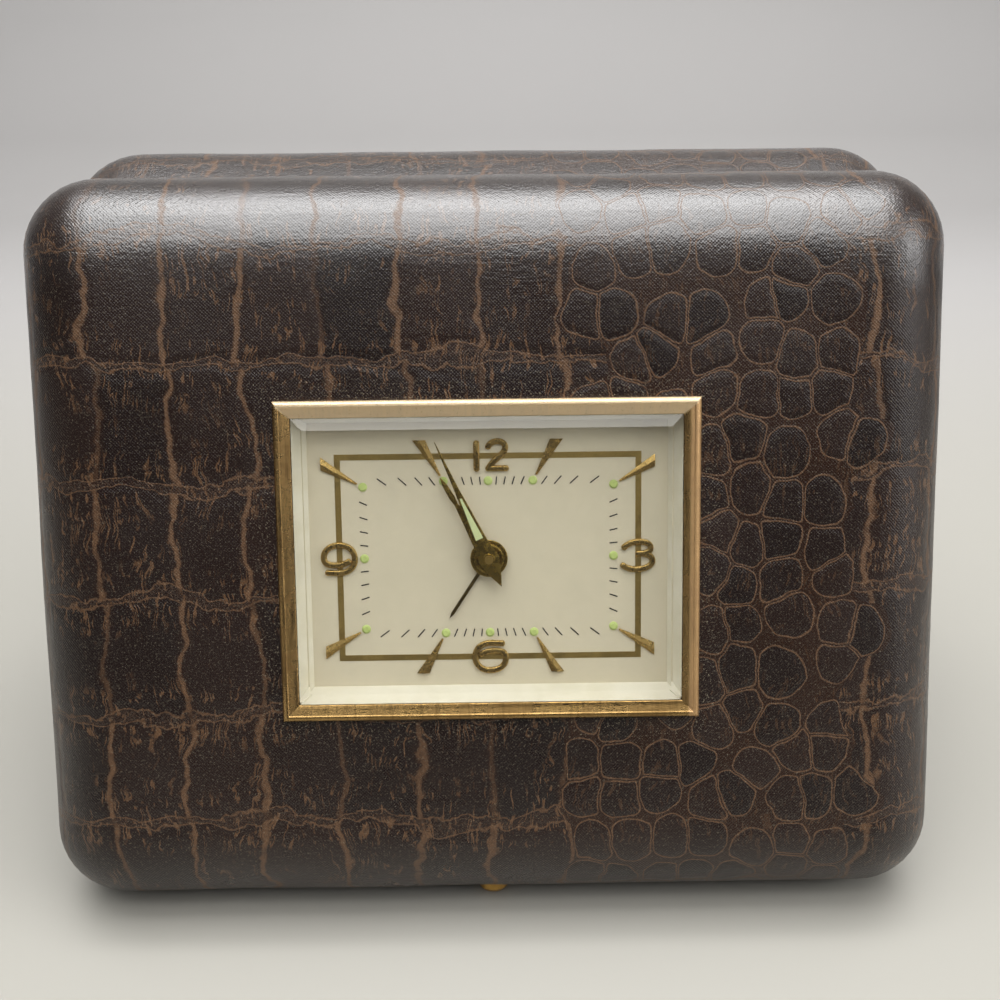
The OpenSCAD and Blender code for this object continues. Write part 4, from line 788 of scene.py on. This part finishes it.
def hand(name, half, level, direction, hub, body, node):
    """Hand with bevelled edges on its hub; half is its right-hand outline from the tail to the tip."""
    bm = bmesh.new()
    round_boss = [(1.75 * math.cos(a), 1.75 * math.sin(a)) for a in (-0.3, 0, 0.3)] if half[0][1] < 0 else []
    right = [p for p in half if p[1] < 0] + round_boss + [p for p in half if p[1] > 0]
    outline_points = right + [(-x, y) for x, y in reversed(right) if x > 0.001]
    plate(bm, outline_points, level, level + 0.3, 0.05)
    turn_about(bm, direction)
    turned(bm, [(r, level + h) for r, h in hub + hub[:1]], steps=48)
    return made(name, bm, CLOCK, finish("hand"), body, (node,), 28)


# Stage

def lay_floor(context):
    """Pale floor that ends a little in front of the clock and rises behind it to a backdrop."""
    stage = context.scene.travel_clock_stage
    bm = bmesh.new()
    section = [(-0.33, -0.6), (-0.33, -0.02), (-0.325, -0.006), (-0.31, -0.00004), (0.55, -0.00004), (0.72, 0.03),
               (0.82, 0.12), (0.85, 0.3), (0.85, 1.2)]
    verts = [bm.verts.new((-1.6, y, z)) for y, z in section]
    edges = [bm.edges.new(pair) for pair in zip(verts, verts[1:])]
    grown = bmesh.ops.extrude_edge_only(bm, edges=edges)["geom"]
    bmesh.ops.translate(bm, verts=[g for g in grown if isinstance(g, bmesh.types.BMVert)], vec=(3.2, 0, 0))
    bmesh.ops.recalc_face_normals(bm, faces=bm.faces)
    material, w, place = finish_of("Pale Floor", Roughness=0.6)
    tint = w.mix(w.step(w.split(place)[1], 20.0, 420.0), solid_tint(stage.floor), solid_tint(stage.wall))
    tint = w.mix(w.times(w.noise(place, 0.01, 3.0), 0.06), tint, (0.30, 0.29, 0.26, 1))
    w.give("Base Color", tint)
    smooth_object("floor", bm, material)


def hang_lamps(context):
    """Four soft lights overhead, one at the right, and a dim world."""
    aim = Vector((0.0, -0.03, 0.07))
    lamps = [("ceiling_light", (0.0, -0.06, 0.95), 1.1, 0.5, 7.5),
             ("ceiling_light_back", (0.0, 0.22, 0.90), 0.9, 0.4, 4.0),
             ("ceiling_light_front", (0.0, -0.38, 0.85), 1.0, 0.3, 2.2),
             ("room_light", (0.0, -0.68, 0.95), 1.2, 0.4, 3.2),
             ("side_light", (0.9, -0.35, 0.45), 0.5, 0.6, 3.0)]
    for name, at, width, height, power in lamps:
        data = bpy.data.lights.new(name, "AREA")
        data.shape = "RECTANGLE"
        data.size, data.size_y, data.energy = width, height, power
        lamp = bpy.data.objects.new(name, data)
        lamp.location = at
        lamp.rotation_euler = (aim - Vector(at)).to_track_quat("-Z", "Y").to_euler()
        context.scene.collection.objects.link(lamp)
    world = bpy.data.worlds.new("Studio")
    world.use_nodes = True
    world.node_tree.nodes["Background"].inputs["Color"].default_value = (0.90, 0.92, 0.96, 1)
    world.node_tree.nodes["Background"].inputs["Strength"].default_value = 0.08
    context.scene.world = world


def set_camera(context):
    """Camera fitted to the photograph: a short lens that looks down at the clock."""
    yaw, pitch, roll = math.radians(0.39), math.radians(26.66), -0.0099
    ahead = Vector((math.sin(yaw) * math.cos(pitch), math.cos(yaw) * math.cos(pitch), -math.sin(pitch)))
    level = Vector((math.cos(yaw), -math.sin(yaw), 0))
    upright = level.cross(ahead)
    right = level * math.cos(roll) + upright * math.sin(roll)
    up = upright * math.cos(roll) - level * math.sin(roll)
    lens = bpy.data.cameras.new("photo_view")
    lens.sensor_width = 36
    lens.lens = 37.9
    lens.clip_start = 0.01
    camera = bpy.data.objects.new("photo_view", lens)
    turn = Matrix((right, up, -ahead)).transposed().to_4x4()
    camera.matrix_world = Matrix.Translation((0.00089, -0.1964, 0.1534)) @ turn
    context.scene.collection.objects.link(camera)
    context.scene.camera = camera


# Sizes and colours to change

def length_prop(name, description, default, low, high):
    """Length that a user may change, in metres."""
    return bpy.props.FloatProperty(name=name, description=description, default=default, min=low, max=high,
                                   precision=5, unit="LENGTH")


def colour_prop(name, description, default):
    """Colour that a user may change."""
    return bpy.props.FloatVectorProperty(name=name, description=description, default=default, min=0, max=1,
                                         subtype="COLOR")


class CaseLook(bpy.types.PropertyGroup):
    """Sizes and colours of the case"""
    cover_lift: length_prop("Cover Thickness", "How far the leatherette stands off the shell under it", 0.00012,
                            0.00005, 0.0003)
    swell: length_prop("Padding Swell", "How far the padding swells out in places", 0.00022, 0, 0.0005)
    worn_edge: length_prop("Worn Bezel Edge", "Width of the rounding on the bezel's edges", 0.00006, 0.00001, 0.0001)
    leather_dark: colour_prop("Scale Colour", "Darkest colour of the embossed scales", (0.0100, 0.0046, 0.0038))
    leather_warm: colour_prop("Warm Scale Colour", "Warmest colour of the embossed scales", (0.0200, 0.0092, 0.0066))
    vein: colour_prop("Vein Colour", "Colour of the lines between the scales", (0.150, 0.078, 0.038))
    rust: colour_prop("Crease Colour", "Colour of the hollows between the scales", (0.026, 0.0095, 0.0040))
    dust: colour_prop("Dust Colour", "Colour of the dust that lies on the case", (0.30, 0.26, 0.18))
    lining: colour_prop("Lining Colour", "Colour of the velvet inside the case", (0.13, 0.02, 0.025))


class FaceLook(bpy.types.PropertyGroup):
    """Sizes and colours behind the crystal"""
    wire_width: length_prop("Numeral Width", "Width of the wire that the numerals are bent from", 0.00102, 0.0006,
                            0.0014)
    wire_height: length_prop("Numeral Height", "Height of the numerals over the dial", 0.0005, 0.0002, 0.0007)
    surround_depth: length_prop("Surround Depth", "Depth of the pale surround over the dial", 0.0026, 0.001, 0.0026)
    dial: colour_prop("Dial Colour", "Colour of the silvered dial", (0.74, 0.675, 0.49))


class StageLook(bpy.types.PropertyGroup):
    """Colours of the floor and backdrop"""
    floor: colour_prop("Floor Colour", "Colour of the floor", (0.43, 0.415, 0.37))
    wall: colour_prop("Wall Colour", "Colour of the backdrop", (0.535, 0.52, 0.51))


# Operators: one for each piece or group of like pieces, and one for the stage

class TRAVELCLOCK_OT_covers(bpy.types.Operator):
    """Wrap both shells in embossed leatherette"""
    bl_idname = "travel_clock.covers"
    bl_label = "Case Covers"

    def execute(self, context):
        look = context.scene.travel_clock_case
        cover("front_cover", FRONT, "front_case", 0.0, look, True)
        cover("rear_cover", REAR, "rear_case", 1.0, look, False)
        dress(["front_shell", "rear_shell"], finish("board"))
        return {"FINISHED"}


class TRAVELCLOCK_OT_linings(bpy.types.Operator):
    """Line the case with velvet"""
    bl_idname = "travel_clock.linings"
    bl_label = "Linings"

    def execute(self, context):
        dress(["front_lining", "front_panel", "rear_lining"], finish("lining"))
        return {"FINISHED"}


class TRAVELCLOCK_OT_hinge(bpy.types.Operator):
    """Finish the hinge"""
    bl_idname = "travel_clock.hinge"
    bl_label = "Hinge"

    def execute(self, context):
        dress(["hinge_leaf_front", "hinge_leaf_rear"], finish("gilt"))
        dress(["hinge_pin", "hinge_brads_front", "hinge_brads_rear"], finish("nickel"))
        return {"FINISHED"}


class TRAVELCLOCK_OT_clasp(bpy.types.Operator):
    """Finish the push-button clasp and wind its spring"""
    bl_idname = "travel_clock.clasp"
    bl_label = "Clasp"

    def execute(self, context):
        dress(["clasp_guide", "clasp_button", "catch_hook"], finish("gilt"))
        turns, steps, corners = 2, 56, 8
        rings = []
        for i in range(steps + 1):
            angle = 2 * math.pi * turns * i / steps
            out = Vector((math.cos(angle), 0, math.sin(angle)))
            rise = SPRING_LOW + SPRING_WIRE + (SPRING_HIGH - SPRING_LOW - 2 * SPRING_WIRE) * i / steps
            centre = Vector((0, rise, BUTTON_AT.z)) + out * SPRING_R
            around = [2 * math.pi / corners * k for k in range(corners)]
            rings.append([centre + out * SPRING_WIRE * math.cos(a) + Vector((0, SPRING_WIRE * math.sin(a), 0))
                          for a in around])
        bm = bmesh.new()
        rows = ring_loft(bm, rings)
        bm.faces.new(rows[0])
        bm.faces.new(rows[-1])
        bmesh.ops.recalc_face_normals(bm, faces=bm.faces)
        coil = made("clasp_coil", bm, FRONT, finish("spring"), "front_case", ("clasp_spring",))
        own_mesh(coil)
        return {"FINISHED"}


class TRAVELCLOCK_OT_bezel(bpy.types.Operator):
    """Make the folded brass bezel: rounded crest, dished inner face, skirt and four tabs"""
    bl_idname = "travel_clock.bezel"
    bl_label = "Bezel"

    def execute(self, context):
        bm = bmesh.new()
        skirt = -9.85
        profile = [(1.7, skirt), (1.7, -0.02), (0.02, 0), (0, 0.15), (0, 0.9), (0.08, 1.2), (0.26, 1.46),
                   (0.55, 1.64), (0.88, 1.7), (1.04, 1.64), (1.14, 1.52), (1.9, 1.27), (2.66, 1.02), (2.78, 0.94),
                   (2.8, 0.8), (2.4, 0.8), (2.4, skirt)]
        ring_loft(bm, [box_ring(BEZEL_W / 2 - i, BEZEL_H / 2 - i, FACE_S + s) for i, s in profile], closed=True)
        for sx in (-1, 1):
            for sy in (-1, 1):
                tab = bmesh.ops.create_cube(bm, size=1)["verts"]
                bmesh.ops.scale(bm, verts=tab, vec=(6, 1.9, 0.8))
                bmesh.ops.translate(bm, verts=tab, vec=(sx * 15, sy * 24.2, FACE_S + skirt + 0.4))
        piece = made("bezel_frame", bm, CLOCK, finish("bezel"), "front_case", ("bezel",), 24)
        edge = piece.modifiers.new("worn edges", "BEVEL")
        edge.width = context.scene.travel_clock_case.worn_edge
        edge.segments = 2
        edge.limit_method = "ANGLE"
        edge.angle_limit = math.radians(30)
        return {"FINISHED"}


class TRAVELCLOCK_OT_crystal(bpy.types.Operator):
    """Glaze the clock"""
    bl_idname = "travel_clock.crystal"
    bl_label = "Crystal"

    def execute(self, context):
        dress(["crystal"], finish("crystal"))
        return {"FINISHED"}


class TRAVELCLOCK_OT_dial(bpy.types.Operator):
    """Finish the dial with its track, hour line and dots, and make the sloping surround"""
    bl_idname = "travel_clock.dial"
    bl_label = "Dial"

    def execute(self, context):
        dress(["dial"], finish("dial"))
        dress(["minute_track"], finish("print"))
        dress(["hour_frame"], finish("hour line"))
        dress(["luminous_dots"], finish("lume"))
        bm = bmesh.new()
        depth = context.scene.travel_clock_face.surround_depth * 1000
        profile = [(0.0, 0.0), (2.15, 0.02), (2.05, 0.35), (0.35, depth - 0.15), (0.25, depth), (0.0, depth)]
        ring_loft(bm, [box_ring(32.5 - i, 24.35 - i, DIAL_S + d) for i, d in profile], closed=True)
        made("surround_frame", bm, CLOCK, finish("surround"), "front_case", ("dial_surround",), 30)
        return {"FINISHED"}


class TRAVELCLOCK_OT_markers(bpy.types.Operator):
    """Finish the facetted batons and bend the numerals of half-round gilt wire"""
    bl_idname = "travel_clock.markers"
    bl_label = "Hour Markers"

    def execute(self, context):
        dress(["hour_batons"], finish("marker"))
        nine = bent((1.65, -0.35), ((0.7, -1.1), (-1.2, -1.3), (-2.2, -0.75), 6),
                    ((-3.1, -0.2), (-2.9, 2.35), (-0.1, 2.4), 10), ((1.7, 2.45), (2.6, 1.3), (2.6, 0), 8),
                    ((2.6, -1.5), (1.4, -2.4), (-0.2, -2.4), 8)) + [(-2.2, -2.3)]
        high_three = bent((-2.3, 1.3), ((-1.6, 2.1), (-0.6, 2.35), (0.4, 2.35), 6),
                          ((1.6, 2.35), (2.3, 1.9), (2.3, 1.25), 6), ((2.3, 0.5), (1.4, 0.3), (0, 0.3), 6))
        low_three = bent((1.0, 0.25), ((2.2, 0.15), (2.7, -0.4), (2.6, -1.1), 7),
                         ((2.4, -2), (1, -2.4), (-0.2, -2.4), 7), ((-1.2, -2.4), (-2, -2.1), (-2.5, -1.6), 6))
        two = bent((-1.5, 1.4), ((-1.2, 2.3), (-0.3, 2.45), (0.2, 2.45), 6), ((1.3, 2.45), (1.8, 1.5), (1.2, 0.7), 6),
                   ((0.6, -0.2), (-0.9, -0.9), (-1.4, -2.1), 7))
        two_foot, one = [(-1.6, -2.1), (1.7, -2.1)], [(0, -2.3), (0, 2.3)]
        bars = [(nine, (-HOUR_A, 0), 0), (nine, (0, -HOUR_B), 180), (high_three, (HOUR_A - 0.2, 0), 0),
                (low_three, (HOUR_A - 0.2, 0), 0), (two, (1.5, HOUR_B), 0), (two_foot, (1.5, HOUR_B), 0),
                (one, (-1.9, HOUR_B), 0)]
        bm = bmesh.new()
        face = context.scene.travel_clock_face
        for path, shift, turn in bars:
            half_round(bm, path, face.wire_width * 1000, face.wire_height * 1000, DIAL_S + 0.05, shift, turn)
        made("numeral_wires", bm, CLOCK, finish("marker"), "front_case", ("hour_numerals",), 50)
        return {"FINISHED"}


class TRAVELCLOCK_OT_hands(bpy.types.Operator):
    """Make the minute, hour and alarm hands with their hubs, and the minute hand's luminous filling"""
    bl_idname = "travel_clock.hands"
    bl_label = "Hands"

    def execute(self, context):
        hour = [(1.2, 0.3), (1.2, 3.2), (0.75, 6.72), (0.32, 10.72), (0.5, 12.0), (0.4, 14.4), (0.05, 16.0)]
        hub = [(1.5, 0), (3.15, 0), (3.15, 0.2), (3.05, 0.3), (2.78, 0.3), (2.7, 0.2), (2.56, 0.2), (2.48, 0.42),
               (2.3, 0.5), (2.1, 0.5), (1.95, 0.34), (1.5, 0.34)]
        hand("hour_blade", hour, DIAL_S + 1.35, HOUR_DIR, hub, "hour_works", "hour_hand")
        minute = [(0.0, -5.1), (0.75, -3.3), (1.35, -1.7), (1.15, 3.3), (0.87, 6.8), (0.66, 9.9), (0.42, 12.7),
                  (0.28, 16.2), (0.05, 21.7)]
        hub = [(0.7, 0.2), (1.0, 0.3), (1.0, 0.42), (0.92, 0.5), (0.7, 0.5)]
        hand("minute_blade", minute, DIAL_S + 2.25, MINUTE_DIR, hub, "minute_works", "minute_hand")
        fill = bmesh.new()
        plate(fill, [(-0.66, 3.8), (0.66, 3.8), (0.16, 11.3), (-0.16, 11.3)], DIAL_S + 2.54, DIAL_S + 2.61)
        turn_about(fill, MINUTE_DIR)
        made("minute_hand_lume", fill, CLOCK, finish("hand lume"), "minute_works", (), 25)
        bm = bmesh.new()
        needle = [(-0.3, 0), (0.3, 0), (0.28, 11.5), (0.0, 12.5), (-0.28, 11.5)]
        plate(bm, needle, DIAL_S + 0.5, DIAL_S + 0.8, 0.12)
        turn_about(bm, ALARM_DIR)
        boss = [(1.7, 0.5), (2.7, 0.5), (2.7, 0.72), (2.6, 0.8), (1.7, 0.8), (1.7, 0.5)]
        turned(bm, [(r, DIAL_S + h) for r, h in boss])
        made("alarm_blade", bm, CLOCK, finish("alarm hand"), "alarm_works", ("alarm_hand",), 28)
        return {"FINISHED"}


class TRAVELCLOCK_OT_works(bpy.types.Operator):
    """Finish the movement in brass, nickel and blued steel"""
    bl_idname = "travel_clock.works"
    bl_label = "Works"

    def execute(self, context):
        dress(["movement_ring", "front_plate", "back_plate", "pillars", "centre_arbor", "minute_wheel", "hour_wheel",
               "alarm_wheel", "alarm_set_arbor", "time_barrel", "alarm_barrel", "centre_wheel", "third_wheel",
               "fourth_wheel", "escape_wheel", "pallet_fork", "balance_wheel", "strike_wheel"], finish("brass"))
        dress(["time_mainspring", "alarm_mainspring", "hairspring"], finish("spring"))
        dress(["time_ratchet", "alarm_ratchet", "ratchet_clicks", "alarm_hammer", "regulator_lever", "cover_screws"],
              finish("nickel"))
        return {"FINISHED"}


class TRAVELCLOCK_OT_back(bpy.types.Operator):
    """Finish the housing, keys and knobs"""
    bl_idname = "travel_clock.back"
    bl_label = "Clock Back"

    def execute(self, context):
        dress(["housing", "back_cover"], finish("housing"))
        dress(["time_set_knob", "alarm_set_knob", "time_key", "alarm_key", "alarm_stop"], finish("gilt"))
        return {"FINISHED"}


class TRAVELCLOCK_OT_stage(bpy.types.Operator):
    """Set a pale floor and backdrop, soft lights, and the camera where the photograph was taken"""
    bl_idname = "travel_clock.stage"
    bl_label = "Stage"

    def execute(self, context):
        lay_floor(context)
        hang_lamps(context)
        set_camera(context)
        context.scene.view_settings.view_transform = "Standard"
        return {"FINISHED"}


OPERATORS = [TRAVELCLOCK_OT_covers, TRAVELCLOCK_OT_linings, TRAVELCLOCK_OT_hinge, TRAVELCLOCK_OT_clasp,
             TRAVELCLOCK_OT_bezel, TRAVELCLOCK_OT_crystal, TRAVELCLOCK_OT_dial, TRAVELCLOCK_OT_markers,
             TRAVELCLOCK_OT_hands, TRAVELCLOCK_OT_works, TRAVELCLOCK_OT_back, TRAVELCLOCK_OT_stage]


class TRAVELCLOCK_PT_panel(bpy.types.Panel):
    """Lists the clock's sizes, colours and pieces"""
    bl_idname = "TRAVELCLOCK_PT_panel"
    bl_label = "Travel Clock"
    bl_space_type = "VIEW_3D"
    bl_region_type = "UI"
    bl_category = "Travel Clock"

    def draw(self, context):
        column = self.layout.column()
        for look in (context.scene.travel_clock_case, context.scene.travel_clock_face,
                     context.scene.travel_clock_stage):
            for key in look.__annotations__:
                column.prop(look, key)
        for piece in OPERATORS:
            column.operator(piece.bl_idname)


CLASSES = [CaseLook, FaceLook, StageLook] + OPERATORS + [TRAVELCLOCK_PT_panel]


def register():
    for cls in CLASSES:
        bpy.utils.register_class(cls)
    bpy.types.Scene.travel_clock_case = bpy.props.PointerProperty(type=CaseLook)
    bpy.types.Scene.travel_clock_face = bpy.props.PointerProperty(type=FaceLook)
    bpy.types.Scene.travel_clock_stage = bpy.props.PointerProperty(type=StageLook)


def unregister():
    del bpy.types.Scene.travel_clock_stage
    del bpy.types.Scene.travel_clock_face
    del bpy.types.Scene.travel_clock_case
    for cls in reversed(CLASSES):
        bpy.utils.unregister_class(cls)


def main():
    register()
    bpy.ops.travel_clock.covers()
    bpy.ops.travel_clock.linings()
    bpy.ops.travel_clock.hinge()
    bpy.ops.travel_clock.clasp()
    bpy.ops.travel_clock.bezel()
    bpy.ops.travel_clock.crystal()
    bpy.ops.travel_clock.dial()
    bpy.ops.travel_clock.markers()
    bpy.ops.travel_clock.hands()
    bpy.ops.travel_clock.works()
    bpy.ops.travel_clock.back()
    bpy.ops.travel_clock.stage()


if __name__ == "__main__":
    main()
